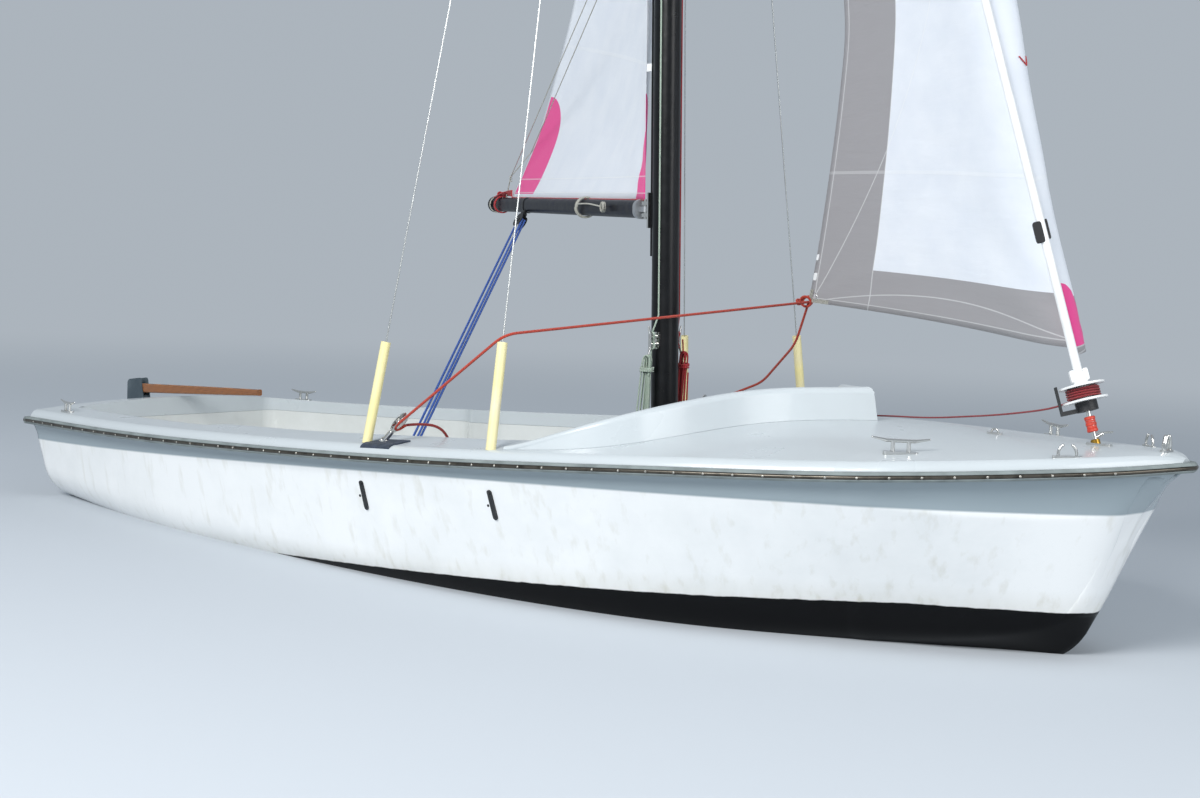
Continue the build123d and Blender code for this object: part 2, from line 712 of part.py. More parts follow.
def boom_block():
    """Block on the strap that hangs under the boom."""
    top = boom_pivot() + boom_direction() * BOOM_BLOCK_ALONG
    pull = (Vector(SHEET_FOOT_X, 0, CASE_TOP) - top).normalized()
    band = extrude(
        boom_plane(BOOM_BLOCK_ALONG - 12) * SlotOverall(BOOM_HEIGHT + 6, BOOM_WIDTH + 6, rotation=90), amount=24,
    )
    link = rod(top, top + pull * 66, 7)
    frame = Plane(origin=top + pull * 56, x_dir=Vector(0, 1, 0).cross(pull), z_dir=pull)
    return band + link + block(frame, 78, 48, 26) - boom()


def tail_path(side):
    """Route of a jib sheet's tail, each corner rounded as far as its runs allow."""
    spots = [Vector(x, side * y, z) for x, y, z in TAIL_ROUTE]
    radii = []
    for before, spot, after in zip(spots, spots[1:], spots[2:]):
        run = min((spot - before).length, (after - spot).length)
        turn = math.radians((spot - before).get_angle(after - spot))
        radii.append(0.45 * run / math.tan(turn / 2))
    print("tail radii", [round(radius) for radius in radii])
    return FilletPolyline(*spots, radius=radii)


def jib_sheet_tail(side):
    path = tail_path(side)
    return sweep(Plane(origin=path @ 0, z_dir=path % 0) * Circle(TAIL_RADIUS), path=path)


def sail_cloth(rows):
    """Thin cloth lofted through curved sections, each from luff to leech with its bulge."""
    sections = []
    for luff, leech, bulge in rows:
        chord = leech - luff
        side = bulge.normalized() * SAIL_THICKNESS
        middle = (luff + leech) / 2 + bulge
        plane = Plane(origin=luff, x_dir=chord, z_dir=chord.cross(bulge))
        spots = [luff, middle, leech, leech + side, middle + side, luff + side]
        flat = [plane.to_local_coords(spot) for spot in spots]
        flat = [(spot.X, spot.Y) for spot in flat]
        edges = [
            ThreePointArc(flat[0], flat[1], flat[2]),
            Line(flat[2], flat[3]),
            ThreePointArc(flat[3], flat[4], flat[5]),
            Line(flat[5], flat[0]),
        ]
        sections.append(plane * closed_face(edges))
    return loft(sections)


def mainsail():
    rows = []
    for height, chord, twist, camber in MAIN_SECTIONS:
        luff = boom_pivot() + MAST_AXIS * height
        out = boom_direction(twist)
        leeward = out.cross(MAST_AXIS).normalized()
        rows.append((luff + out * LUFF_GAP, luff + out * chord, leeward * (chord * camber)))
    return sail_cloth(rows)


def sail_slides():
    """Slides in the mast's track that carry the mainsail's luff."""
    back = -MAST_HALF_LENGTH - TRACK_DEPTH
    reach = PIVOT_BEHIND_MAST + back - 4
    slide = Pos(back - reach / 2, 0) * Rectangle(reach, 10)
    pieces = []
    for height in range(SLIDE_SPACING, int(MAIN_SECTIONS[-1][0]), SLIDE_SPACING):
        pieces.append(extrude(mast_plane(BOOM_Z + height) * slide, amount=26))
    return Compound(children=pieces)


def jib():
    rows = []
    aft = Vector(-STAY_AXIS.Z, 0, STAY_AXIS.X)
    for along, chord, twist, camber, rise in JIB_SECTIONS:
        angle = math.radians(JIB_ANGLE + twist)
        out = aft * math.cos(angle) + Vector(0, 1, 0) * math.sin(angle)
        luff = stay_point(along) + out * FOIL_RADIUS
        leech = stay_point(along) + out * chord + STAY_AXIS * rise
        leeward = (leech - luff).normalized().cross(STAY_AXIS)
        rows.append((luff, leech, leeward * (chord * camber)))
    return sail_cloth(rows) - stay_disc(182, FOIL_TOP, FOIL_RADIUS)


def furler_drum():
    discs = stay_disc(112, 118, 66) + stay_disc(156, 162, 66)
    return discs + stay_disc(118, 156, 24) + stay_disc(162, 182, 22)


def furler_cage():
    """Housing under the drum, with the guard that keeps the line on it."""
    housing = stay_disc(84, 111, 32)
    ring = Plane(origin=stay_point(84), x_dir=(-0.766, -0.64, 0), z_dir=STAY_AXIS)
    arm = extrude(ring * Pos(52, 0) * Rectangle(52, 18), amount=12)
    strap = extrude(ring * Pos(76, 0) * Rectangle(5, 18), amount=86)
    return housing + arm + strap


def stay_fitting():
    """Deck plate, lug and swivel under the furler, and the toggle pin through it."""
    x = STAY_FOOT[0] + 14
    z = deck_height(x, 0)
    plate = Pos(x, 0, z + 1) * Box(76, 28, 10)
    plate = fillet(plate.edges().filter_by(Axis.Z), 9)
    link = stay_disc(-44, 84, 7) + stay_disc(34, 66, 14) + stay_disc(-34, -6, 13)
    start = stay_point(18)
    pin = rod(start, start + Vector(30, 62, 3), 3.5) + rod(stay_point(4), start + Vector(26, 12, 0), 4)
    return seated(plate + link + pin)


def cleat(length):
    """Two-horn cleat on a flat foot, its foot at the origin."""
    foot = fillet((Pos(0, 0, 0) * Box(length * 0.62, 28, 10)).edges().filter_by(Axis.Z), 10)
    posts = [Pos(sign * length * 0.14, 0, 19) * Cylinder(6, 32) for sign in (-1, 1)]
    bar = Pos(0, 0, 36) * Rot(0, 90, 0) * Cylinder(5.5, length * 0.5)
    horns = []
    for sign in (-1, 1):
        root = Vector(sign * length * 0.24, 0, 36)
        tip = Vector(sign * length * 0.5, 0, 43)
        plane = Plane(origin=root, z_dir=tip - root)
        horns.append(loft([plane * Circle(5.5), plane.offset((tip - root).length) * Circle(3)]))
        horns.append(Pos(tip.X, tip.Y, tip.Z) * Sphere(3))
    return foot + posts + bar + horns


def placed_on_deck(shape, x, y, heading):
    """A fitting put on the deck's port side."""
    return seated(Pos(x, y, deck_height(x, y)) * Rot(0, 0, heading) * shape)


def on_deck(shape, x, y, heading):
    """A fitting put on the deck at both sides of the centreline."""
    placed = placed_on_deck(shape, x, y, heading)
    return Compound(children=[placed, mirror(placed, about=Plane.XZ)])


def chock(length, height, radius):
    """Fairlead: a bar with two horns that curve towards each other."""
    bar = fillet((Pos(0, 0, 0) * Box(length, 3.2 * radius, 10)).edges().filter_by(Axis.Z), 1.4 * radius)
    horns = []
    for sign in (-1, 1):
        root, tip = sign * length * 0.3, sign * length * 0.17
        curve = ThreePointArc((root, 0, 0), (root * 0.98, 0, height * 0.55), (tip, 0, height))
        horns.append(sweep(Plane(origin=curve @ 0, z_dir=curve % 0) * Circle(radius), path=curve))
        horns.append(Pos(tip, 0, height) * Sphere(radius))
    return bar + horns


def bow_fittings():
    """Fairleads at both bows and on the stem, and the eye on the fore deck."""
    side = on_deck(chock(84, 34, 4.5), *BOW_CHOCK)
    stem = placed_on_deck(chock(58, 42, 7), STEM_CHOCK_X, 0, 90)
    eye = fillet((Pos(0, 0, 0) * Box(50, 16, 10)).edges().filter_by(Axis.Z), 7)
    eye = eye + Pos(0, 0, 5) * Rot(90, 0, 0) * Torus(11, 3)
    return Compound(children=[*side.children, stem, placed_on_deck(eye, DECK_EYE_X, 0, 0)])


def furling_cleat():
    """Two cams on a base that hold the furling line."""
    base = fillet((Pos(0, 0, 4) * Box(66, 34, 14)).edges().filter_by(Axis.Z), 6)
    cams = [Pos(0, side * 11, 17) * Cylinder(9.5, 14) for side in (-1, 1)]
    lead = Pos(26, 0, 20) * Rot(0, 90, 0) * Torus(9, 3)
    return placed_on_deck(base + cams + lead, *FURLING_CLEAT)


def rudder_frame():
    """Plane through the rudder's raked axis: first axis aft, second axis up, origin at the sheer."""
    row = HULL_SECTIONS[0]
    up = Vector(row[0] - row[3], 0, row[2] - row[4]).normalized()
    aft = Vector(-up.Z, 0, up.X)
    return Plane(origin=Vector(row[0], 0, row[2]) + aft * RUDDER_OFFSET, x_dir=aft, z_dir=(0, 1, 0))


def plate_in(frame, face, low, high):
    """A face drawn in the rudder's frame, as a plate between two offsets across the boat."""
    return extrude(frame.offset(low) * face, amount=high - low, dir=frame.z_dir)


def rudder_stock():
    """Two cheeks with a packer between them, and the pin of the blade."""
    frame = rudder_frame()
    half = CHEEK_GAP / 2
    cheek = FilletPolyline(
        (18, 168), (112, 176), (132, 90), (132, -215), (96, -262), (26, -256), (18, 40),
        close=True, radius=[12, 20, 60, 30, 24, 20, 120],
    )
    face = Face(Wire(cheek.edges()))
    cheeks = [plate_in(frame, face, low, low + CHEEK_THICKNESS) for low in (half, -half - CHEEK_THICKNESS)]
    packer = plate_in(frame, Pos(72, 30) * Rectangle(96, 120), -half, half)
    pin = plate_in(frame, Pos(*BLADE_PIVOT) * Circle(PIN_RADIUS), -half - 10, half + 10)
    return packer + cheeks + pin


def rudder_pintles():
    """Straps on the stock with the pins that drop into the gudgeons."""
    frame = rudder_frame()
    pieces = []
    for height in GUDGEON_HEIGHTS:
        strap = plate_in(frame, Pos(22, height + 14) * Rectangle(56, 18), CHEEK_GAP / 2 + 4, CHEEK_GAP / 2 + 7)
        other = plate_in(frame, Pos(22, height + 14) * Rectangle(56, 18), -CHEEK_GAP / 2 - 7, -CHEEK_GAP / 2 - 4)
        nose = plate_in(frame, Pos(5, height + 14) * Rectangle(22, 18), -CHEEK_GAP / 2 - 7, CHEEK_GAP / 2 + 7)
        foot = frame.from_local_coords(Vector(0, height - 22, 0))
        head = frame.from_local_coords(Vector(0, height + 14, 0))
        pieces.append(strap + other + nose + rod(foot, head, 5.95))
    return Compound(children=pieces)


def rudder_gudgeons():
    """Eyes on the transom."""
    frame = rudder_frame()
    pieces = []
    for height in GUDGEON_HEIGHTS:
        plate = plate_in(frame, Pos(-RUDDER_OFFSET + 2, height - 6) * Rectangle(4, 44), -45, 45)
        arm = plate_in(frame, Pos(-RUDDER_OFFSET / 2, height - 6) * Rectangle(RUDDER_OFFSET, 20), -12, 12)
        low = frame.from_local_coords(Vector(0, height - 16, 0))
        high = frame.from_local_coords(Vector(0, height + 4, 0))
        pieces.append(plate + arm + rod(low, high, 12) - rod(low, high, 6.02))
    return Compound(children=pieces)


def tiller():
    frame = rudder_frame()
    root = frame.from_local_coords(Vector(120, 140, 0))
    line = Vector(TILLER_LENGTH, 0, 52).normalized()
    plane = Plane(origin=root, x_dir=(0, 1, 0), z_dir=line)
    sizes = [(0, 29.4, 40), (0.3, 29.4, 38), (1, 24, 26)]
    sections = [plane.offset(TILLER_LENGTH * at) * RectangleRounded(w, h, 7) for at, w, h in sizes]
    return loft(sections)


def rudder_blade():
    """Lifting blade that turns on the stock's pin."""
    frame = rudder_frame()
    blade = FilletPolyline(
        (30, -268), (32, -150), (108, -140), (150, -300), (205, -860), (80, -960), (-10, -880), (2, -340),
        close=True, radius=[20, 34, 34, 90, 60, 80, 60, 60],
    )
    half = BLADE_THICKNESS / 2
    plate = plate_in(frame, Face(Wire(blade.edges())), -half, half)
    return plate - plate_in(frame, Pos(*BLADE_PIVOT) * Circle(PIN_RADIUS + 0.1), -half, half)


LAST_ROW = len(HULL_SECTIONS) - 1
MAIN_ROWS = smooth_rows(0, BOW_ROW, SECTIONS_PER_RUN)
BOW_ROWS = smooth_rows(BOW_ROW, LAST_ROW, SECTIONS_PER_RUN)
JOINT_SPOTS = [MAIN_ROWS[-2], MAIN_ROWS[-1], BOW_ROWS[1]]
HULL_AFT = loft([hull_section(row) for row in MAIN_ROWS])
HULL_FORE = loft([hull_section(row) for row in BOW_ROWS])
DECK_AFT = loft([deck_section(row) for row in MAIN_ROWS])
DECK_FORE = loft([deck_section(row) for row in BOW_ROWS])

space = well(0)
inside = well(LINER)
slot = centreboard_slot()
half_coaming = coaming_half()
pad = sheet_pad()
covers, wires = shrouds()

parts = {
    "hull_shell": HULL_AFT - space - slot + HULL_FORE,
    "deck_moulding": DECK_AFT - inside + DECK_FORE,
    "cockpit_liner": (space & HULL_AFT) - inside - slot,
    "rub_rail": along_sheer(rail_profile()),
    "rub_rail_insert": along_sheer(insert_profile()),
    "spray_coaming": seated(both_sides(half_coaming)),
    "centreboard_case": centreboard_case(),
    "centreboard": centreboard(),
    "centreboard_pin": board_pin(),
    "mast_step": mast_step(),
    "mast": mast(),
    "hounds": hounds(),
    "shroud_covers": covers,
    "shrouds": wires,
    "chainplate_straps": straps(),
    "gooseneck": gooseneck(),
    "boom": boom(),
    "boom_casting": boom_casting(),
    "mainsail": mainsail(),
    "sail_slides": sail_slides(),
    "stay_fitting": stay_fitting(),
    "furler_cage": furler_cage(),
    "furler_drum": furler_drum(),
    "furling_turns": stay_disc(119, 155, 46) - stay_disc(118, 156, 24),
    "luff_foil": stay_disc(182, FOIL_TOP, FOIL_RADIUS),
    "jib_swivel": stay_disc(FOIL_TOP, SWIVEL_TOP, 22),
    "forestay": rod(stay_point(SWIVEL_TOP), stay_top(), WIRE_RADIUS),
    "jib": jib(),
    "fore_cleats": on_deck(cleat(160), *FORE_CLEAT),
    "aft_cleats": on_deck(cleat(130), *AFT_CLEAT),
    "bow_fittings": bow_fittings(),
    "furling_cleat": furling_cleat(),
    "sheet_pads": Compound(children=[pad, mirror(pad, about=Plane.XZ)]),
    "sheet_blocks": sheet_blocks(),
    "mainsheet_block": mainsheet_block(),
    "boom_block": boom_block(),
    "halyard_cleats": halyard_cleats(),
    "masthead_fitting": masthead_fitting(),
    "halyard_hank_starboard": halyard_hank(HANKS[0]),
    "halyard_hank_port": halyard_hank(HANKS[1]),
    "jib_sheet_tail_starboard": jib_sheet_tail(-1),
    "jib_sheet_tail_port": jib_sheet_tail(1),
    "rudder_gudgeons": rudder_gudgeons(),
    "rudder_pintles": rudder_pintles(),
    "rudder_stock": rudder_stock(),
    "tiller": tiller(),
    "rudder_blade": rudder_blade(),
}

# a part is cut away where another one passes through it: part, the other one
PASSES = [
    ("mast", "mast_step"), ("gooseneck", "mast"), ("forestay", "hounds"), ("mainsail", "boom_casting"),
    ("mainsail", "boom_block"),
]
for name, other in PASSES:
    parts[name] = parts[name] - parts[other]

os.makedirs("parts", exist_ok=True)
for name, shape in parts.items():
    export_step(shape, f"parts/{name}.step")
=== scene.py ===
import json
import logging
import math
from dataclasses import dataclass
from enum import Enum

import bpy
import numpy as np
from mathutils import Matrix, Vector
from numpy.typing import NDArray


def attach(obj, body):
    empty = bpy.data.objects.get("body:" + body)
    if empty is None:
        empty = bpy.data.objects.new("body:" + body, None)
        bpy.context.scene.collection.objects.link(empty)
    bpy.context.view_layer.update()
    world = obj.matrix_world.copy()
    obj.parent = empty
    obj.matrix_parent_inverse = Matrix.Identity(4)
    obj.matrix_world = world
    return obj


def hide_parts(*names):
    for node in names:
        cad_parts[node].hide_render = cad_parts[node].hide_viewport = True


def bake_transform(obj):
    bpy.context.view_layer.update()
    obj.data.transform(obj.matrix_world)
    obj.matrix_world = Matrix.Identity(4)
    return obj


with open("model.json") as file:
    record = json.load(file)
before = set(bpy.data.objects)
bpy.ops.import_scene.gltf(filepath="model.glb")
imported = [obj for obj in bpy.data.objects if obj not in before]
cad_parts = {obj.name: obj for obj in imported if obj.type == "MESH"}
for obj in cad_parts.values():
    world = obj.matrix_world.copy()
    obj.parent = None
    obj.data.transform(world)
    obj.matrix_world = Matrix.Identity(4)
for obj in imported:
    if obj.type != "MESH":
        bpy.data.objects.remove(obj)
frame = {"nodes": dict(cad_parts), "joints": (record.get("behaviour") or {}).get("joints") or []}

LOG = logging.getLogger("dinghy")
Points = NDArray[np.float64]
Tree = bpy.types.NodeTree
Node = bpy.types.Node
Socket = bpy.types.NodeSocket


class Side(Enum):
    """The two sides of the boat, with the sign of Y."""

    PORT = 1
    STARBOARD = -1


class Body(Enum):
    """The bodies that the new pieces ride on."""

    HULL = "root"
    BOOM = "boom"
    JIB = "jib"


def linear(colour: str) -> tuple[float, float, float, float]:
    """Turn an sRGB hex colour into linear light.

    Args:
        colour: six hex digits, such as "8A9BA3".

    Returns:
        Red, green, blue and alpha.
    """
    shades = [int(colour[i : i + 2], 16) / 255 for i in (0, 2, 4)]
    parts = [s / 12.92 if s <= 0.04045 else ((s + 0.055) / 1.055) ** 2.4 for s in shades]
    return (parts[0], parts[1], parts[2], 1.0)


def vector(x: float, y: float, z: float) -> Points:
    """Return a point or direction as an array."""
    return np.array((x, y, z), float)


def unit(v: Points) -> Points:
    """Return each vector at length one."""
    return v / np.linalg.norm(v, axis=-1, keepdims=True)


# Axes and driving sizes, in metres, read from the frame's joints


def joint_axis(name: str) -> tuple[Points, Points]:
    """Return a joint's place and its axis.

    Args:
        name: the joint's name in the record.

    Returns:
        The point in metres and the axis at length one.
    """
    joint = next(j for j in frame["joints"] if j["name"] == name)
    return np.array(joint["pos_m"], float), unit(np.array(joint["axis"], float))


BOOM_PIVOT, MAST_AXIS = joint_axis("boom_swing")
STAY_FOOT, STAY_AXIS = joint_axis("jib_turn")
MAST_AHEAD_OF_PIVOT = 0.088
# rest angles in degrees: the boom to port and over square, and the jib to port
BOOM_ANGLE = 35.0
BOOM_RISE = 2.8
JIB_ANGLE = 24.7
# height at which the near lazy jack bends round the leech
JACK_BEND_Z = 1.50


def mast_point(height: float) -> Points:
    """Return the mast's centre at a height over the waterline."""
    along = (height - BOOM_PIVOT[2]) / MAST_AXIS[2]
    return BOOM_PIVOT + vector(MAST_AHEAD_OF_PIVOT, 0, 0) + MAST_AXIS * along


def stay_point(along: float) -> Points:
    """Return the point of the forestay's line at a distance from its foot."""
    return STAY_FOOT + STAY_AXIS * along


def swung(axis: Points, angle: float, rise: float = 0.0) -> Points:
    """Direction aft, square to an axis in the centre plane, then swung to port and lifted.

    Args:
        axis: the axis that it swings about.
        angle: degrees to port.
        rise: degrees over the plane square to the axis.

    Returns:
        A unit vector.
    """
    aft = vector(-axis[2], 0, axis[0])
    turn, lift = math.radians(angle), math.radians(rise)
    square = aft * math.cos(turn) + vector(0, math.sin(turn), 0)
    return square * math.cos(lift) + axis * math.sin(lift)


BOOM_OUT = swung(MAST_AXIS, BOOM_ANGLE, BOOM_RISE)
BOOM_ACROSS = unit(np.cross(MAST_AXIS, BOOM_OUT))
BOOM_UP = np.cross(BOOM_OUT, BOOM_ACROSS)


def boom_point(along: float, across: float = 0.0, up: float = 0.0) -> Points:
    """Return a point by its distance along the boom, to its starboard side and over its centre."""
    return BOOM_PIVOT + BOOM_OUT * along + BOOM_ACROSS * across + BOOM_UP * up


@dataclass
class Surface:
    """Points with faces of any number of corners, and each corner's place on the surface.

    Attributes:
        points: one row for each point.
        faces: blocks of faces, each block with one count of corners.
        places: for each block, the U and V of each corner, in metres or shares.
    """

    points: Points
    faces: list[NDArray[np.int64]]
    places: list[Points]

    def turned(self) -> "Surface":
        """Return the surface with its faces turned over."""
        return Surface(self.points, [f[:, ::-1] for f in self.faces], [p[:, ::-1] for p in self.places])

    def mirrored(self) -> "Surface":
        """Return the surface mirrored in the centre plane, with its faces still outwards."""
        return Surface(self.points * vector(1, -1, 1), self.faces, self.places).turned()


def joined(surfaces: list[Surface]) -> Surface:
    """Join surfaces into one, whose points stay apart.

    Args:
        surfaces: the surfaces.

    Returns:
        One surface.
    """
    points, faces, places, count = [], [], [], 0
    for surface in surfaces:
        points.append(surface.points)
        faces += [block + count for block in surface.faces]
        places += surface.places
        count += len(surface.points)
    return Surface(np.concatenate(points), faces, places)


def both_sides(surface: Surface) -> Surface:
    """Join a surface with its mirror image in the centre plane."""
    return joined([surface, surface.mirrored()])


def lattice(
    points: Points, wrap_u: bool = False, wrap_v: bool = False, size: Points | None = None
) -> Surface:
    """Quads over a grid of points.

    Args:
        points: U rows by V columns by three.
        wrap_u: whether the last row joins the first.
        wrap_v: whether the last column joins the first.
        size: each corner's U and V, rows by columns by two, one more where it wraps, or shares if None.

    Returns:
        The surface, whose faces turn from U to V.
    """
    rows, columns = points.shape[:2]
    steps = (rows - (not wrap_u), columns - (not wrap_v))
    row, column = np.meshgrid(np.arange(steps[0]), np.arange(steps[1]), indexing="ij")
    u = np.stack([row, row + 1, row + 1, row], -1).reshape(-1, 4)
    v = np.stack([column, column, column + 1, column + 1], -1).reshape(-1, 4)
    quads = (u % rows) * columns + v % columns
    place = np.stack([u / steps[0], v / steps[1]], -1) if size is None else size[u, v]
    return Surface(points.reshape(-1, 3), [quads], [place])


def sleeve(rings: Points, size: Points | None = None, ends: Points | None = None) -> Surface:
    """Skin over a row of rings, closed by a flat face over the first ring and one over the last.

    Args:
        rings: rings by points by three, each ring anticlockwise as seen from the next one.
        size: each corner's U and V, one more round the ring, or shares if None.
        ends: each corner's U and V on the flat faces, or zero if None.

    Returns:
        The closed surface, its faces outwards.
    """
    count, sides = rings.shape[:2]
    skin = lattice(rings, wrap_v=True, size=size)
    start = np.arange(sides)[None]
    end = start[:, ::-1] + (count - 1) * sides
    flat = np.zeros((1, sides, 2)) if ends is None else ends[None]
    return Surface(skin.points, [*skin.faces, start, end], [*skin.places, flat, flat[:, ::-1]]).turned()


def square_to(axis: Points, away: Points | None = None) -> tuple[Points, Points]:
    """Two directions square to an axis and to each other, the second a quarter turn on from the first.

    Args:
        axis: a direction at length one, or rows of them.
        away: a direction that isn't along the axis, or the frame's axis furthest from it if None.

    Returns:
        The two directions at length one.
    """
    if away is None:
        away = np.eye(3)[np.argmin(np.abs(axis))]
    first = unit(np.cross(axis, away))
    return first, np.cross(axis, first)


def ring_frames(path: Points, closed: bool = False) -> tuple[Points, Points]:
    """Two directions square to a path at each of its points, from the direction that it runs least along.

    Args:
        path: the points of the centreline.
        closed: whether the path ends where it starts.

    Returns:
        The first and the second direction, a row for each point.
    """
    tangent = np.roll(path, -1, axis=0) - np.roll(path, 1, axis=0) if closed else np.gradient(path, axis=0)
    tangent = unit(tangent)
    trials = ((1, 0, 0), (0, 1, 0), (0, 0, 1), (1, 1, 1), (-1, 1, 1), (1, -1, 1), (1, 1, -1))
    trials = unit(np.array(trials, float))
    return square_to(tangent, trials[np.argmin(np.abs(tangent @ trials.T).max(axis=0))])


def tube(path: Points, radius: float | Points, sides: int = 10, closed: bool = False) -> Surface:
    """Round tube: each point of the path plus the radius times the cosine and sine of an angle.

    Args:
        path: the points of the centreline.
        radius: one radius, or one for each point.
        sides: points round each ring.
        closed: whether the path ends where it starts.

    Returns:
        The tube with flat ends, its U along the path and V round it, both in metres.
    """
    path = np.asarray(path, float)
    first, second = ring_frames(path, closed)
    radii = np.broadcast_to(np.asarray(radius, float), (len(path),))
    turn = np.arange(sides) * math.tau / sides
    spin = first[:, None] * np.cos(turn)[None, :, None] + second[:, None] * np.sin(turn)[None, :, None]
    steps = np.linalg.norm(np.diff(path, axis=0, append=path[:1]), axis=1)
    along = np.concatenate([[0], np.cumsum(steps)])[: len(path) + closed]
    round_it = np.arange(sides + 1) / sides * math.tau * float(radii.max())
    size = np.stack(np.meshgrid(along, round_it, indexing="ij"), -1)
    rings = path[:, None] + spin * radii[:, None, None]
    if closed:
        return lattice(rings, wrap_u=True, wrap_v=True, size=size).turned()
    return sleeve(rings, size)


def loop(
    centre: Points, first: Points, second: Points, radius: float, rope: float, sides: int = 8, count: int = 14
) -> Surface:
    """One closed round turn of rope.

    Args:
        centre: the turn's centre.
        first: one direction of its plane.
        second: the other.
        radius: the turn's radius.
        rope: half the rope's diameter.
        sides: points round the rope.
        count: points round the turn.

    Returns:
        The turn.
    """
    path = arc(centre, first, second, radius, 0, 360, count + 1)[:-1]
    return tube(path, rope, sides, closed=True)


def spline_line(route: Points) -> Points:
    """Points along the smooth NURBS line that a rope's route gives.

    Args:
        route: the control points, in metres.

    Returns:
        The line's points, close together.
    """
    data = bpy.data.curves.new("route", "CURVE")
    data.dimensions = "3D"
    spline = data.splines.new("NURBS")
    spline.points.add(len(route) - 1)
    spline.points.foreach_set("co", np.column_stack([route, np.ones(len(route))]).ravel())
    spline.order_u = 3
    spline.use_endpoint_u = True
    spline.resolution_u = 6
    line = bpy.data.objects.new("route", data)
    mesh = bpy.data.meshes.new_from_object(line)
    flat = np.empty(len(mesh.vertices) * 3)
    mesh.vertices.foreach_get("co", flat)
    bpy.data.objects.remove(line)
    bpy.data.curves.remove(data)
    bpy.data.meshes.remove(mesh)
    return flat.reshape(-1, 3)


def arc(
    centre: Points, first: Points, second: Points, radius: float, start: float, stop: float, count: int
) -> Points:
    """Points of an arc: the centre plus the radius times the cosine along first and the sine along second.

    Args:
        centre: the arc's centre.
        first: direction of zero degrees.
        second: direction of ninety degrees.
        radius: the arc's radius.
        start: first angle, degrees.
        stop: last angle, degrees.
        count: number of points.

    Returns:
        The points.
    """
    turn = np.radians(np.linspace(start, stop, count))[:, None]
    return centre + radius * (np.cos(turn) * first + np.sin(turn) * second)


def rounded(corners: Points, bend: float, steps: int = 7) -> Points:
    """A path of straight runs whose corners are quadratic curves, each up to the bend's reach.

    Args:
        corners: the corner points.
        bend: how far from a corner its curve starts.
        steps: points of each curve.

    Returns:
        The path's points.
    """
    corners = np.asarray(corners, float)
    path = [corners[:1]]
    t = np.linspace(0, 1, steps)[:, None]
    for before, corner, after in zip(corners, corners[1:], corners[2:]):
        back, ahead = before - corner, after - corner
        a = corner + back * min(0.5, bend / np.linalg.norm(back))
        b = corner + ahead * min(0.5, bend / np.linalg.norm(ahead))
        path.append(a * (1 - t) ** 2 + corner * 2 * t * (1 - t) + b * t**2)
    path.append(corners[-1:])
    return np.concatenate(path)


def split(path: Points, step: float) -> Points:
    """Points along a path, evenly spaced.

    Args:
        path: the path's points.
        step: the distance that they are close to.

    Returns:
        The new points.
    """
    path = np.asarray(path, float)
    lengths = np.concatenate([[0], np.cumsum(np.linalg.norm(np.diff(path, axis=0), axis=1))])
    along = np.linspace(0, lengths[-1], max(2, round(lengths[-1] / step)))
    return np.stack([np.interp(along, lengths, path[:, i]) for i in range(3)], -1)


def sagging(a: Points, b: Points, sag: float, count: int) -> Points:
    """A line from a to b that hangs below the straight one by a parabola of that depth."""
    t = np.linspace(0, 1, count)[:, None]
    return a + (b - a) * t - vector(0, 0, sag) * 4 * t * (1 - t)


def turned_about(profile: Points, place: Points, axis: Points, segments: int = 32) -> Surface:
    """Surface of revolution: each profile point at its height, round the axis at its radius.

    Args:
        profile: rows of radius and height, a closed loop.
        place: the axis's foot.
        axis: the axis's direction, at length one.
        segments: points round the axis.

    Returns:
        The closed ring.
    """
    first, second = square_to(axis)
    turn = np.arange(segments) * math.tau / segments
    spin = first * np.cos(turn)[:, None] + second * np.sin(turn)[:, None]
    radius, height = np.asarray(profile, float).T
    points = place + spin[:, None] * radius[None, :, None] + axis * height[None, :, None]
    return lattice(points, wrap_u=True, wrap_v=True)


def dome(place: Points, axis: Points, radius: float, height: float, sides: int = 10) -> Surface:
    """Round head of a screw: a disc that rises to its middle close to a cosine.

    Args:
        place: the middle of its foot.
        axis: the way that it stands, at length one.
        radius: its radius.
        height: its height; it reaches 0.3 of that into what it sits on.
        sides: points round it.

    Returns:
        The closed head.
    """
    first, second = square_to(axis)
    turn = np.arange(sides) * math.tau / sides
    spin = first * np.cos(turn)[:, None] + second * np.sin(turn)[:, None]
    reach = np.array((1.0, 1.0, 0.75, 0.35)) * radius
    lift = np.array((-0.3, 0.35, 0.8, 1.0)) * height
    return sleeve(place + spin[None] * reach[:, None, None] + axis * lift[:, None, None])


def plate(outline: Points, origin: Points, across: Points, up: Points, thickness: float) -> Surface:
    """A flat outline carried through a thickness, half to each side of its plane.

    Args:
        outline: rows of distances along across and up, turning from across to up.
        origin: the outline's origin.
        across: first direction of the plane.
        up: second direction of the plane.
        thickness: the plate's thickness.

    Returns:
        The closed plate.
    """
    outline = np.asarray(outline, float)
    normal = unit(np.cross(across, up))
    flat = origin + outline[:, :1] * across + outline[:, 1:] * up
    rings = np.stack([flat - normal * thickness / 2, flat + normal * thickness / 2])
    return sleeve(rings, ends=outline)


def tape(line: Points, across: Points, low: float, high: float, thickness: float) -> Surface:
    """Flat strip along a line, its faces half the thickness to each side of the line.

    Args:
        line: the points that it follows.
        across: direction of its width.
        low: distance of its first edge from the line.
        high: distance of its second edge.
        thickness: its thickness.

    Returns:
        The closed strip.
    """
    normal = unit(np.cross(line[-1] - line[0], across))
    wide = np.array((low, high, high, low))[:, None]
    deep = np.array((-0.5, -0.5, 0.5, 0.5))[:, None] * thickness
    return sleeve(line[:, None] + across * wide + normal * deep)


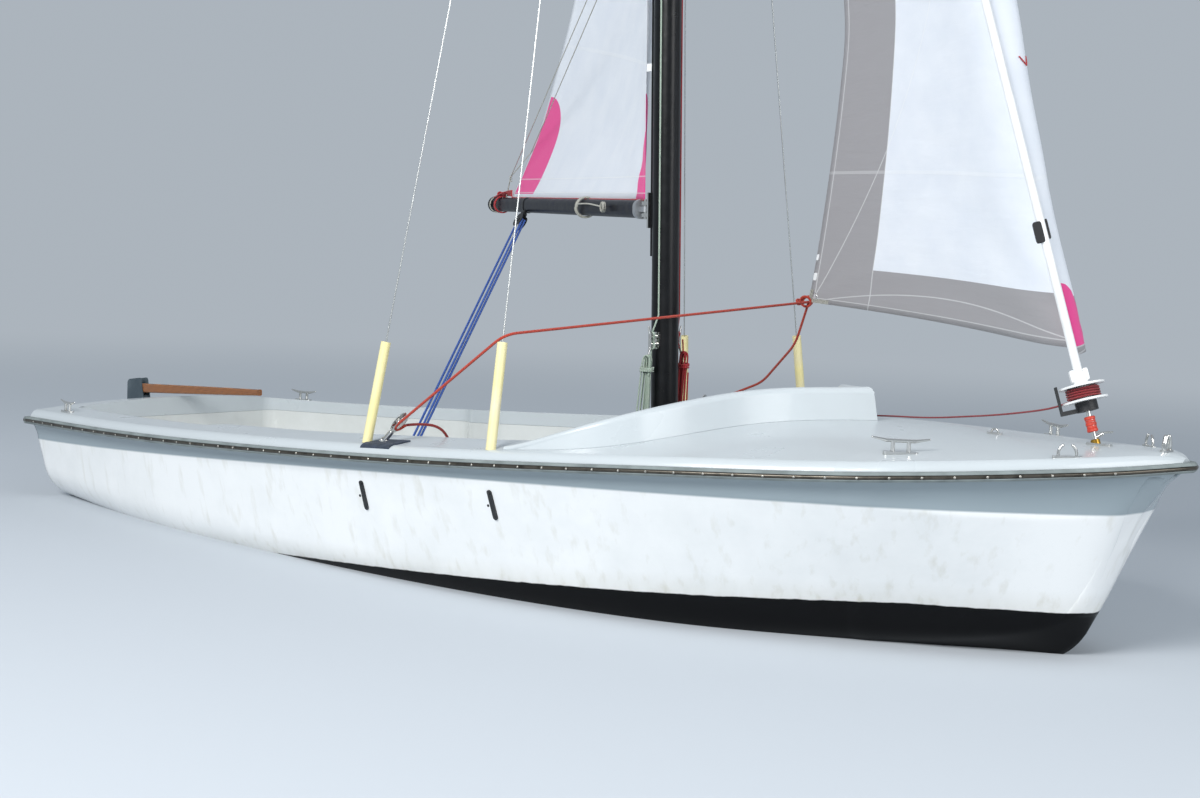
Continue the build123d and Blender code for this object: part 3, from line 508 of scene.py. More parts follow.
def oval(width: float, height: float, power: float = 2.0, count: int = 24) -> Points:
    """Outline of an oval whose corners fill out as the power grows.

    Args:
        width: its width.
        height: its height.
        power: the power of both shares in its equation, 2 for an ellipse.
        count: number of points.

    Returns:
        Rows of two distances from its middle.
    """
    turn = np.arange(count) * math.tau / count
    spin = np.stack([np.cos(turn), np.sin(turn)], -1)
    return np.sign(spin) * np.abs(spin) ** (2.0 / power) * (width / 2, height / 2)


# Finishes


def add(tree: Tree, kind: str, inputs: dict | None = None, **settings) -> Node:
    """Add one node, with its settings and its inputs.

    Args:
        tree: the material's or world's nodes.
        kind: the node's type.
        inputs: for each input, a value or the output that it is linked to.
        settings: the node's own properties.

    Returns:
        The node.
    """
    node = tree.nodes.new(kind)
    for name, value in settings.items():
        setattr(node, name, value)
    for name, value in (inputs or {}).items():
        if isinstance(value, Socket):
            tree.links.new(value, node.inputs[name])
        else:
            node.inputs[name].default_value = value
    return node


def coordinates(tree: Tree) -> Socket:
    """Return the place on the boat, in metres."""
    return add(tree, "ShaderNodeTexCoord").outputs["Object"]


def own_place(tree: Tree) -> Socket:
    """Return the place in the piece's own U and V."""
    return add(tree, "ShaderNodeUVMap", uv_map="surface").outputs["UV"]


def stretched(tree: Tree, place: Socket, scale: tuple[float, float, float]) -> Socket:
    """Return a place scaled along each axis."""
    return add(tree, "ShaderNodeMapping", {"Vector": place, "Scale": scale}).outputs["Vector"]


def calc(tree: Tree, operation: str, *values: Socket | float) -> Socket:
    """Return one step of arithmetic on numbers or outputs."""
    return add(tree, "ShaderNodeMath", dict(enumerate(values)), operation=operation).outputs[0]


def ranged(
    tree: Tree, value: Socket, start: float, stop: float, low: float = 0.0, high: float = 1.0
) -> Socket:
    """Return a value carried from start and stop to low and high, and held at both ends."""
    ends = {"Value": value, "From Min": start, "From Max": stop, "To Min": low, "To Max": high}
    return add(tree, "ShaderNodeMapRange", ends).outputs["Result"]


def noise(tree: Tree, place: Socket, scale: float, detail: float, roughness: float = 0.5) -> Socket:
    """Return noise of that many blotches a metre, with finer ones inside them."""
    kind = {"Vector": place, "Scale": scale, "Detail": detail, "Roughness": roughness}
    return add(tree, "ShaderNodeTexNoise", kind).outputs["Fac"]


def blended(tree: Tree, share: Socket, first: Socket | str, second: Socket | str) -> Socket:
    """Let one colour pass into another.

    Args:
        tree: the material's tree.
        share: the second colour's share.
        first: an output or sRGB hex.
        second: an output or sRGB hex.

    Returns:
        The mixed colour.
    """
    ends = [linear(colour) if isinstance(colour, str) else colour for colour in (first, second)]
    shades = {"Fac": share, "Color1": ends[0], "Color2": ends[1]}
    return add(tree, "ShaderNodeMixRGB", shades).outputs["Color"]


def bumped(tree: Tree, height: Socket, depth_mm: float, strength: float = 1.0, **under: Socket) -> Socket:
    """Return the normal of a relief of that depth, over the one given as Normal."""
    relief = {"Height": height, "Distance": depth_mm / 1000, "Strength": strength, **under}
    return add(tree, "ShaderNodeBump", relief).outputs["Normal"]


@dataclass(frozen=True)
class Finish:
    """A material: its name, its base colour and how it shines.

    Attributes:
        name: the material's plain name.
        colour: sRGB hex.
        roughness: from 0, a mirror, to 1, chalk.
        metallic: 1 for bare metal.
        coat: weight of a clear layer.
        spread: how far the roughness varies over the surface.
        sheen: strength of the plain reflection, 0.5 as found.
    """

    name: str
    colour: str
    roughness: float = 0.5
    metallic: float = 0.0
    coat: float = 0.0
    spread: float = 0.08
    sheen: float = 0.5

    def material(self) -> bpy.types.Material:
        """Make the material on its first use.

        Returns:
            The material.
        """
        made = bpy.data.materials.get(self.name)
        if made:
            return made
        made = bpy.data.materials.new(self.name)
        made.use_nodes = True
        made.diffuse_color = linear(self.colour)
        tree = made.node_tree
        shader = tree.nodes["Principled BSDF"]
        for name, value in (
            ("Base Color", linear(self.colour)),
            ("Metallic", self.metallic),
            ("Roughness", self.roughness),
            ("Coat Weight", self.coat),
            ("Coat Roughness", 0.1),
            ("Specular IOR Level", self.sheen),
        ):
            shader.inputs[name].default_value = value
        self.dress(tree, shader)
        return made

    def dress(self, tree: Tree, shader: Node) -> None:
        """Vary the roughness; each kind of finish adds the pattern of its own surface.

        Args:
            tree: the material's nodes.
            shader: the surface shader.
        """
        self.vary_roughness(tree, shader, 9.0)

    def vary_roughness(self, tree: Tree, shader: Node, scale: float) -> Socket:
        """Link the roughness to noise.

        Args:
            tree: the material's nodes.
            shader: the surface shader.
            scale: blotches a metre.

        Returns:
            The noise.
        """
        cloud = noise(tree, coordinates(tree), scale, 5.0)
        rough = ranged(tree, cloud, 0.0, 1.0, self.roughness - self.spread, self.roughness + self.spread)
        tree.links.new(rough, shader.inputs["Roughness"])
        return cloud


@dataclass(frozen=True)
class Gelcoat(Finish):
    """Polyester gelcoat from a polished mould: glossy, faintly wavy, with weathered patches.

    Attributes:
        worn: colour of the dulled patches.
        wave_mm: depth of the mould's unfairness.
        soften_mm: reach over which creases are rounded by eye.
    """

    worn: str = "C5CACB"
    wave_mm: float = 1.6
    soften_mm: float = 3.0

    # blotches a metre of the dulled patches, the specks of grime, the uneven gloss and the waviness
    PATCHES = 2.6
    SPECKS = 160.0
    GLOSS = 5.0
    WAVES = 3.2
    WEAR_SHOWS = 0.6

    def dress(self, tree: Tree, shader: Node) -> None:
        """Blend in weathered patches, and add the waviness that bends reflections.

        Args:
            tree: the material's nodes.
            shader: the surface shader.
        """
        self.finish_skin(tree, shader, self.weathered(tree))

    def weathered(self, tree: Tree) -> Socket:
        """Colour with dulled patches about 0.4 m wide and fine specks of grime.

        Args:
            tree: the material's nodes.

        Returns:
            The base colour.
        """
        where = coordinates(tree)
        patches = ranged(tree, noise(tree, where, self.PATCHES, 6.0, 0.62), 0.42, 0.78)
        specks = ranged(tree, noise(tree, where, self.SPECKS, 2.0), 0.62, 0.8, 0.0, 0.35)
        share = calc(tree, "MULTIPLY", calc(tree, "MAXIMUM", patches, specks), self.WEAR_SHOWS)
        return blended(tree, share, self.colour, self.worn)

    def finish_skin(self, tree: Tree, shader: Node, colour: Socket) -> None:
        """Link the colour, the uneven gloss and the bump of the mould.

        Args:
            tree: the material's nodes.
            shader: the surface shader.
            colour: the base colour.
        """
        tree.links.new(colour, shader.inputs["Base Color"])
        self.vary_roughness(tree, shader, self.GLOSS)
        wave = noise(tree, coordinates(tree), self.WAVES, 1.0)
        soft = add(tree, "ShaderNodeBevel", {"Radius": self.soften_mm / 1000}, samples=4).outputs["Normal"]
        tree.links.new(bumped(tree, wave, self.wave_mm, Normal=soft), shader.inputs["Normal"])


@dataclass(frozen=True)
class PaintedHull(Gelcoat):
    """Hull gelcoat with a grey band of painted shade under the rail's flare, and black bottom paint, parted
    by height.

    Attributes:
        band: painted shade of the flare under the rail, which faces down and lies in shade.
        bottom: colour of the bottom paint.
        grime: colour of the stain that runs down from the rail and up from the water.
    """

    # grey of the painted shade on the flare under the rail
    band: str = "93A0A6"
    bottom: str = "0B0C0E"
    grime: str = "B9B39B"

    # lower edge of the painted shade band under the flare, X and Z in metres
    FLARE_SHADE_EDGE = ((-2.2, 0.234), (-1.13, 0.300), (0.08, 0.369), (1.18, 0.440), (1.9, 0.426), (2.2, 0.455))
    # half of the painted shade band's edge blur, and all of the paint edge's
    BLUR = 0.003
    # top of the bottom paint: height amidships, rise per metre forward, and its level at the bow
    PAINT_MIDDLE = 0.037
    PAINT_RISE = 0.061
    PAINT_BOW = 0.137
    # its edge wanders by so much, so many times a metre
    PAINT_WANDERS = 0.006
    PAINT_RAGGED = 22.0
    # gloss of the bottom paint, and height of the scum over it
    PAINT_SHEEN = 0.12
    SCUM_HEIGHT = 0.07

    def dress(self, tree: Tree, shader: Node) -> None:
        """Lay the three colours, one of them the painted shade under the flare, by height over a slope and a
        curve along the hull.

        Args:
            tree: the material's nodes.
            shader: the surface shader.
        """
        where = coordinates(tree)
        axes = add(tree, "ShaderNodeSeparateXYZ", {"Vector": where})
        x, z = axes.outputs["X"], axes.outputs["Z"]
        curve = np.polyfit(*np.array(self.FLARE_SHADE_EDGE).T, 4)
        edge: Socket | float = float(curve[0])
        for term in curve[1:]:
            edge = calc(tree, "MULTIPLY_ADD", edge, x, float(term))
        # mask of the painted shade: the flare under the rail is greyed as if it lay in shade
        band = ranged(tree, calc(tree, "SUBTRACT", z, edge), -self.BLUR, self.BLUR)
        slope = calc(tree, "MULTIPLY_ADD", x, self.PAINT_RISE, self.PAINT_MIDDLE)
        level = calc(tree, "MINIMUM", slope, self.PAINT_BOW)
        ragged = noise(tree, where, self.PAINT_RAGGED, 3.0)
        top = calc(tree, "MULTIPLY_ADD", ragged, self.PAINT_WANDERS, level)
        above = calc(tree, "SUBTRACT", z, top)
        topside = ranged(tree, above, 0.0, self.BLUR)
        flare_shaded = blended(tree, band, self.stained(tree, where, above), self.band)
        self.finish_skin(tree, shader, blended(tree, topside, self.bottom, flare_shaded))
        tree.links.new(calc(tree, "MULTIPLY", topside, self.coat), shader.inputs["Coat Weight"])
        shine = ranged(tree, topside, 0.0, 1.0, self.PAINT_SHEEN, self.sheen)
        tree.links.new(shine, shader.inputs["Specular IOR Level"])

    def stained(self, tree: Tree, where: Socket, above: Socket) -> Socket:
        """Colour with narrow runs of grime, and scum just over the paint.

        Args:
            tree: the material's nodes.
            where: the place on the hull.
            above: the height over the bottom paint.

        Returns:
            The topside's colour.
        """
        runs = noise(tree, stretched(tree, where, (26.0, 26.0, 1.4)), 1.0, 4.0)
        streak = ranged(tree, runs, 0.56, 0.9, 0.0, 0.45)
        scum = ranged(tree, above, 0.0, self.SCUM_HEIGHT, 0.42, 0.0)
        share = calc(tree, "ADD", streak, calc(tree, "MULTIPLY", scum, runs))
        return blended(tree, share, self.weathered(tree), self.grime)


@dataclass(frozen=True)
class Sailcloth(Finish):
    """Woven polyester sailcloth: a resin-filled weave with a soft shine, cut in panels.

    The piece carries three attributes in metres: its distance from the luff, leech and foot.

    Attributes:
        seam_gap: distance between the seams across the sail.
        seam_tilt: how much a seam rises for each metre from the luff.
        seam_start: height of the lowest seam at the luff.
        lines: stitched lines, each where the sum of these is zero: a weight times the luff, the leech,
            the foot, the luff times the leech, and a level.
        patch: colour of the corner patches.
        strip: colour of the sun strips.
        leech_strip: width of the strip up the leech, or none.
        foot_strip: width of the strip along the foot.
        clew_patch: width and height of the patch at the clew.
        tack_patch: width and height of the patch at the tack.
        tack_hem: height of that patch's lower edge over the foot.
    """

    seam_gap: float = 0.9
    seam_tilt: float = -0.12
    seam_start: float = 0.0
    lines: tuple[tuple[float, float, float, float, float], ...] = ()
    patch: str = "E8408F"
    strip: str = "9C9A9C"
    leech_strip: float = 0.0
    foot_strip: float = 0.0
    clew_patch: tuple[float, float] = (0.0, 0.0)
    tack_patch: tuple[float, float] = (0.0, 0.0)
    tack_hem: float = 0.0

    THREAD_MM = 1.6  # drawn coarser than the real 0.3 mm, so that it shows
    SEAM_WIDTH = 0.014
    SEAM_SHOWS = 0.55
    # the hem's stitching: its distance from the edge and half its width, and half a line's width
    HEM = 0.022
    HEM_STITCH = 0.0022
    LINE_STITCH = 0.0025
    STITCH_SHOWS = 0.38
    STITCH = "F4F5F4"
    # bare cloth round the clew's patch at the leech and at the foot
    CLEW_HEMS = (0.022, 0.016)
    # colour of the cloth's clouds
    CLOUD = "D9DFE8"
    CORNER_POWER = 2.2

    def corner(self, tree: Tree, edge: Socket, foot: Socket, size: tuple[float, float]) -> Socket:
        """Corner patch: where (edge / width)^2.2 + (foot / height)^2.2 is under 1.

        Args:
            tree: the material's nodes.
            edge: distance from the luff or the leech.
            foot: distance from the foot.
            size: the patch's width and height.

        Returns:
            The mask, 1 inside.
        """
        powers = []
        for value, reach in ((edge, size[0]), (foot, size[1])):
            share = calc(tree, "DIVIDE", value, reach)
            powers.append(calc(tree, "POWER", share, self.CORNER_POWER))
        return calc(tree, "LESS_THAN", calc(tree, "ADD", *powers), 1.0)

    def tinted(self, tree: Tree, luff: Socket, leech: Socket, foot: Socket) -> list[tuple[Socket, str]]:
        """Strips and patches that lie on the cloth.

        Args:
            tree: the material's nodes.
            luff: distance from the luff.
            leech: distance from the leech.
            foot: distance from the foot.

        Returns:
            Each one's mask and colour, the lowest first.
        """
        layers = []
        if self.leech_strip:
            layers.append((calc(tree, "LESS_THAN", leech, self.leech_strip), self.strip))
            layers.append((calc(tree, "LESS_THAN", foot, self.foot_strip), self.strip))
        if self.clew_patch[0]:
            patch = self.corner(tree, leech, foot, self.clew_patch)
            for edge, hem in zip((leech, foot), self.CLEW_HEMS):
                patch = calc(tree, "MULTIPLY", calc(tree, "GREATER_THAN", edge, hem), patch)
            layers.append((patch, self.patch))
        if self.tack_patch[0]:
            over = calc(tree, "GREATER_THAN", foot, self.tack_hem)
            patch = self.corner(tree, luff, foot, self.tack_patch)
            layers.append((calc(tree, "MULTIPLY", over, patch), self.patch))
        return layers

    def dress(self, tree: Tree, shader: Node) -> None:
        """Lay strips and patches over the cloth, then seams, hems, weave and creases.

        Args:
            tree: the material's nodes.
            shader: the surface shader.
        """
        edges = [
            add(tree, "ShaderNodeAttribute", attribute_name=name).outputs["Fac"]
            for name in ("luff", "leech", "foot")
        ]
        place = own_place(tree)
        colour = blended(tree, noise(tree, place, 7.0, 4.0), self.colour, self.CLOUD)
        for mask, tint in self.tinted(tree, *edges):
            colour = blended(tree, mask, colour, tint)
        lines = self.seams(tree, edges[0], edges[2])
        for weights in self.lines:
            lines = calc(tree, "MAXIMUM", lines, self.stitching(tree, edges, weights))
        for edge in edges[1:]:
            away = calc(tree, "ABSOLUTE", calc(tree, "SUBTRACT", edge, self.HEM))
            lines = calc(tree, "MAXIMUM", lines, calc(tree, "LESS_THAN", away, self.HEM_STITCH))
        faint = calc(tree, "MULTIPLY", lines, self.STITCH_SHOWS)
        tree.links.new(blended(tree, faint, colour, self.STITCH), shader.inputs["Base Color"])
        shader.inputs["Sheen Weight"].default_value = 0.12
        self.emboss(tree, shader, place, lines)

    def stitching(self, tree: Tree, edges: list[Socket], weights: tuple[float, ...]) -> Socket:
        """One stitched line, 5 mm wide.

        Args:
            tree: the material's nodes.
            edges: distances from the luff, the leech and the foot.
            weights: the line's row of the lines field.

        Returns:
            The mask, 1 along the line.
        """
        total: Socket | float = weights[-1]
        product = calc(tree, "MULTIPLY", edges[0], edges[1])
        for value, weight in zip((*edges, product), weights):
            total = calc(tree, "MULTIPLY_ADD", value, weight, total)
        return calc(tree, "LESS_THAN", calc(tree, "ABSOLUTE", total), self.LINE_STITCH)

    def seams(self, tree: Tree, luff: Socket, foot: Socket) -> Socket:
        """Seams: where foot - tilt x luff - start, over the gap, is just past a whole number.

        Args:
            tree: the material's nodes.
            luff: distance from the luff.
            foot: distance from the foot.

        Returns:
            The mask, faint along each seam.
        """
        low = calc(tree, "SUBTRACT", foot, self.seam_start)
        rise = calc(tree, "MULTIPLY_ADD", luff, -self.seam_tilt, low)
        part = calc(tree, "FRACT", calc(tree, "DIVIDE", rise, self.seam_gap))
        seam = calc(tree, "LESS_THAN", part, self.SEAM_WIDTH / self.seam_gap)
        return calc(tree, "MULTIPLY", seam, self.SEAM_SHOWS)

    def emboss(self, tree: Tree, shader: Node, place: Socket, lines: Socket) -> None:
        """Relief of the soft creases, the raised seams and the crossed threads.

        Args:
            tree: the material's nodes.
            shader: the surface shader.
            place: the place on the cloth.
            lines: the mask of seams and stitching.
        """
        threads = math.tau * 1000 / self.THREAD_MM
        axes = add(tree, "ShaderNodeSeparateXYZ", {"Vector": place})
        waves = [
            calc(tree, "SINE", calc(tree, "MULTIPLY", axes.outputs[name], threads)) for name in ("X", "Y")
        ]
        crease = noise(tree, stretched(tree, place, (2.2, 7.0, 1.0)), 2.0, 3.0)
        soft = bumped(tree, crease, 6.0, 0.5)
        raised = bumped(tree, lines, 0.6, Normal=soft)
        woven = bumped(tree, calc(tree, "MULTIPLY", *waves), 0.15, 0.5, Normal=raised)
        tree.links.new(woven, shader.inputs["Normal"])


@dataclass(frozen=True)
class Braid(Finish):
    """Braided polyester rope: crossed strands, some of them in a second colour.

    Attributes:
        fleck: colour of the marker strands.
        flecks: share of the strands in that colour.
        strand_mm: width of one strand, drawn at least as wide as shows.
    """

    fleck: str = "F0F0EE"
    flecks: float = 0.2
    strand_mm: float = 3.0

    RELIEF_MM = 0.8

    def dress(self, tree: Tree, shader: Node) -> None:
        """Cross two sets of slanting waves: the higher one is the strand on top; the colour is darkened where
        the strands dip, as painted shade between them.

        Args:
            tree: the material's nodes.
            shader: the surface shader.
        """
        place = own_place(tree)
        turns = math.tau * 1000 / self.strand_mm / 2
        strands = []
        for slant in (1.0, -1.0):
            lean = {0: place, 1: (turns, turns * slant, 0.0)}
            phase = add(tree, "ShaderNodeVectorMath", lean, operation="DOT_PRODUCT").outputs["Value"]
            strands.append(calc(tree, "SINE", phase))
        top = calc(tree, "MAXIMUM", *strands)
        mark = calc(tree, "GREATER_THAN", strands[0], 1 - 2 * self.flecks)
        plain = blended(tree, mark, self.colour, self.fleck)
        # painted shade: the colour darkens to 0.55 where the strands dip between each other
        depth = ranged(tree, top, -0.6, 1.0, 0.55, 1.0)
        dark = {"Fac": 1.0, "Color1": plain, "Color2": depth}
        shaded = add(tree, "ShaderNodeMixRGB", dark, blend_type="MULTIPLY").outputs["Color"]
        tree.links.new(shaded, shader.inputs["Base Color"])
        tree.links.new(bumped(tree, top, self.RELIEF_MM), shader.inputs["Normal"])
        shader.inputs["Sheen Weight"].default_value = 0.15


@dataclass(frozen=True)
class Metal(Finish):
    """Metal with a rubbed grain: long fine scratches over a mirror or an anodised skin.

    Attributes:
        grain: scratches to the metre along X, Y and Z.
        stain: colour of tarnish and salt.
        stained: share of it.
    """

    grain: tuple[float, float, float] = (60.0, 60.0, 8.0)
    stain: str = "8A8478"
    stained: float = 0.25

    SCRATCH_MM = 0.1

    def dress(self, tree: Tree, shader: Node) -> None:
        """Scratch the skin and cloud the colour.

        Args:
            tree: the material's nodes.
            shader: the surface shader.
        """
        amount = ranged(tree, self.vary_roughness(tree, shader, 30.0), 0.5, 0.85, 0.0, self.stained)
        tree.links.new(blended(tree, amount, self.colour, self.stain), shader.inputs["Base Color"])
        scratch = noise(tree, stretched(tree, coordinates(tree), self.grain), 10.0, 3.0)
        tree.links.new(bumped(tree, scratch, self.SCRATCH_MM), shader.inputs["Normal"])


@dataclass(frozen=True)
class Weathered(Finish):
    """Plastic, rubber or paint left in the sun: blotches of a second colour and a fine grain.

    Attributes:
        faded: colour of the faded or dirty places.
        amount: how strongly it shows.
        patch: blotches a metre.
        grain_mm: depth of the fine grain.
    """

    faded: str = "C8C8C8"
    amount: float = 0.6
    patch: float = 14.0
    grain_mm: float = 0.12

    GRAINS = 420.0

    def dress(self, tree: Tree, shader: Node) -> None:
        """Blend the second colour by noise and add the grain.

        Args:
            tree: the material's nodes.
            shader: the surface shader.
        """
        fade = ranged(tree, self.vary_roughness(tree, shader, self.patch), 0.38, 0.72, 0.0, self.amount)
        tree.links.new(blended(tree, fade, self.colour, self.faded), shader.inputs["Base Color"])
        fine = noise(tree, coordinates(tree), self.GRAINS, 2.0)
        tree.links.new(bumped(tree, fine, self.grain_mm), shader.inputs["Normal"])


@dataclass(frozen=True)
class Timber(Finish):
    """Varnished hardwood: growth bands along the tiller under a clear coat.

    Attributes:
        dark: colour of the dense bands.
    """

    dark: str = "5E3319"

    def dress(self, tree: Tree, shader: Node) -> None:
        """Draw fine grain, stretched along X and wavy with noise.

        Args:
            tree: the material's nodes.
            shader: the surface shader.
        """
        long = stretched(tree, coordinates(tree), (1.5, 40.0, 40.0))
        bands = {"Vector": long, "Scale": 1.6, "Distortion": 3.0, "Detail": 3.0}
        grain = add(tree, "ShaderNodeTexWave", bands, bands_direction="Z").outputs["Fac"]
        tree.links.new(blended(tree, grain, self.colour, self.dark), shader.inputs["Base Color"])


# Hull and deck: polished polyester gelcoat, so a mirror-like skin over soft colour
# the hull's finish also paints the shade of the flare under the rail as a grey band
TOPSIDE = PaintedHull(
    "hull_white_gelcoat", "F3F4F3", 0.2, coat=0.4, spread=0.06, worn="DADDDC", soften_mm=24.0
)
DECKING = Gelcoat("deck_pale_grey_gelcoat", "C3CACD", 0.3, coat=0.25, spread=0.09, worn="BCC2C4")
INSIDE = Gelcoat("cockpit_pale_grey_gelcoat", "D9DCDA", 0.24, coat=0.25, spread=0.08, worn="BFC1BC")
# Rail: extruded rubber greyed by the sun, with a dull metal strip in its groove
RAIL_RUBBER = Weathered("rail_grey_rubber", "87908F", 0.6, faded="5F6666", amount=0.7)
RAIL_STRIP = Metal(
    "rail_dull_steel_strip", "5D5850", 0.35, metallic=0.9, grain=(4, 4, 60), stain="1C1B19", stained=0.9
)
SCREW_STEEL = Metal("rail_screw_steel", "B5B1A8", 0.32, metallic=1.0)
# Spars: black anodised aluminium, satin with fine lengthwise scratches
MAST_BLACK = Metal("mast_black_anodised", "08090B", 0.3, sheen=0.3, stain="16181C", stained=0.6)
BOOM_BLACK = Metal(
    "boom_dark_anodised", "070A14", 0.36, sheen=0.12, grain=(8, 8, 60), stain="0F1430", stained=0.6
)
POLISHED = Metal("fitting_polished_steel", "D6D5D1", 0.14, metallic=1.0, spread=0.05)
CASTING = Metal("boom_end_cast_alloy", "B4B6B8", 0.34, metallic=0.9, stain="6F7276", stained=0.6)
BRASS = Metal("pin_worn_brass", "B08A3C", 0.3, metallic=1.0, stain="6A5122", stained=0.5)
WIRE = Metal("rigging_stranded_wire", "C9CBC9", 0.28, metallic=0.9, grain=(90, 90, 90))
STRAP = Weathered("chainplate_black_coating", "15171A", 0.45, faded="3A3B3A", amount=0.7)
COVER = Weathered("shroud_cover_cream_plastic", "EFE3A4", 0.42, faded="E6DDBB", amount=0.8, patch=9.0)
MOULDED_WHITE = Weathered("furler_white_plastic", "EDEEEE", 0.32, faded="CFD0CE", amount=0.5)
MOULDED_BLACK = Weathered("furler_black_plastic", "17181A", 0.5, faded="2E2F31", amount=0.6)
STOCK_PAINT = Weathered("rudder_stock_slate_paint", "39464E", 0.42, faded="5A666C", amount=0.6, coat=0.15)
FOIL_WHITE = Weathered("foil_white_paint", "E7E8E5", 0.3, faded="C7C6BC", amount=0.5, patch=6.0, coat=0.3)
PAD_NAVY = Weathered(
    "sheet_pad_navy_rubber", "2B3442", 0.6, faded="465063", amount=0.7, patch=40.0, grain_mm=0.5
)
RED_TAPE = Weathered("stay_red_tape", "C8402E", 0.5, faded="A93A2C", amount=0.6, patch=60.0)
TILLER_WOOD = Timber("tiller_varnished_ash", "A56A35", 0.25, coat=0.6)
# Cloth: woven polyester
MAIN_CLOTH = Sailcloth(
    "mainsail_woven_polyester", "ECEFF3", 0.5, seam_gap=0.86, seam_tilt=0.12, seam_start=0.43,
    clew_patch=(0.35, 0.44), tack_patch=(0.13, 0.36),
    lines=((1.0, 0.0, 0.85, 0.0, -0.86), (0.0, 0.0, 1.0, 0.0, -0.08)),
)
JIB_CLOTH = Sailcloth(
    "jib_woven_polyester", "EEF1F5", 0.5, seam_gap=0.86, seam_tilt=0.05, seam_start=0.53,
    leech_strip=0.28, foot_strip=0.17, tack_patch=(0.042, 0.22), tack_hem=0.024,
    lines=((0.0, 0.0, 1.0, -0.22, 0.0), (0.0, 1.0, -0.4, 0.0, -0.01), (0.0, 1.0, 0.0, 0.0, -0.28)),
)
# Ropes: braided polyester, each in its own colours
SHEET_ORANGE = Braid("jib_sheet_orange_braid", "D8452B", 0.6, fleck="B8351F", flecks=0.3)
SHEET_DARK = Braid("jib_sheet_tail_red_braid", "A3261E", 0.6, fleck="7A1C16", flecks=0.3)
SHEET_BLUE = Braid("mainsheet_blue_braid", "1B4DB2", 0.6, fleck="4C7BC9", flecks=0.2)
LINE_RED = Braid("furling_line_red_braid", "B52A33", 0.6, fleck="8C2028", flecks=0.3, strand_mm=2.0)
LINE_WHITE = Braid("lashing_white_braid", "DEDDD3", 0.62, fleck="B7B4A2", flecks=0.25, strand_mm=2.0)
LINE_GREEN = Braid("halyard_green_fleck_braid", "DCE4D6", 0.62, fleck="6B9A7C", flecks=0.2, strand_mm=2.4)
LINE_SCARLET = Braid("halyard_scarlet_braid", "E62E34", 0.6, fleck="A01420", flecks=0.25, strand_mm=2.0)


# angles in degrees over which an edge is drawn sharp, and over which it is rounded
SHARP = 40
ROUNDED = 35


def make_piece(name: str, surface: Surface, finish: Finish, body: Body | None, slot: str) -> bpy.types.Object:
    """Make a mesh piece, dress it and let it ride on a body.

    Args:
        name: the piece's name.
        surface: its shape, in place.
        finish: its material.
        body: the body that it moves with, or None for a piece that rides on no body.
        slot: the record's material slot; not used.

    Returns:
        The piece.
    """
    mesh = bpy.data.meshes.new(name)
    faces = [face for block in surface.faces for face in block.tolist()]
    mesh.from_pydata(surface.points.tolist(), [], faces)
    layer = mesh.uv_layers.new(name="surface")
    flat = np.concatenate([place.reshape(-1, 2) for place in surface.places])
    layer.data.foreach_set("uv", flat.astype(np.float32).ravel())
    piece = bpy.data.objects.new(name, mesh)
    bpy.context.scene.collection.objects.link(piece)
    mesh.materials.append(finish.material())
    mesh.shade_smooth()
    mesh.set_sharp_from_angle(angle=math.radians(SHARP))
    if body:
        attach(piece, body.value)
    LOG.info("%s: %d faces", name, len(mesh.polygons))
    return piece


def mark(piece: bpy.types.Object, name: str, values: Points) -> None:
    """Store one number for each point of a piece, for its material to read."""
    attribute = piece.data.attributes.new(name, "FLOAT", "POINT")
    attribute.data.foreach_set("value", np.asarray(values, np.float32).ravel())


def rounded_edges(piece: bpy.types.Object, width: float) -> None:
    """Round a piece's sharp edges.

    Args:
        piece: the piece.
        width: the reach of the rounding, in metres.
    """
    bevel = piece.modifiers.new("rounded", "BEVEL")
    bevel.width = width
    bevel.segments = 2
    bevel.limit_method = "ANGLE"
    bevel.angle_limit = math.radians(ROUNDED)


def thicken(piece: bpy.types.Object, thickness: float) -> None:
    """Give a cloth its thickness, half to each face.

    Args:
        piece: the cloth.
        thickness: in metres.
    """
    solid = piece.modifiers.new("thickness", "SOLIDIFY")
    solid.thickness = thickness
    solid.offset = 0.0


def dress(nodes: str, finish: Finish) -> None:
    """Give CAD nodes a finish.

    Args:
        nodes: their names, with spaces between.
        finish: the finish.
    """
    for name in nodes.split():
        mesh = frame["nodes"][name].data
        mesh.materials.clear()
        mesh.materials.append(finish.material())
        LOG.info("%s: %s", name, finish.name)


def smoothed(values: Points, times: int) -> Points:
    """A row of values, each one eased towards the two beside it.

    Args:
        values: the row, or rows of it; the first and the last value stay.
        times: how often it is done.

    Returns:
        The smooth row.
    """
    values = values.copy()
    for _ in range(times):
        values[..., 1:-1] = (values[..., :-2] + 2 * values[..., 1:-1] + values[..., 2:]) / 4
    return values


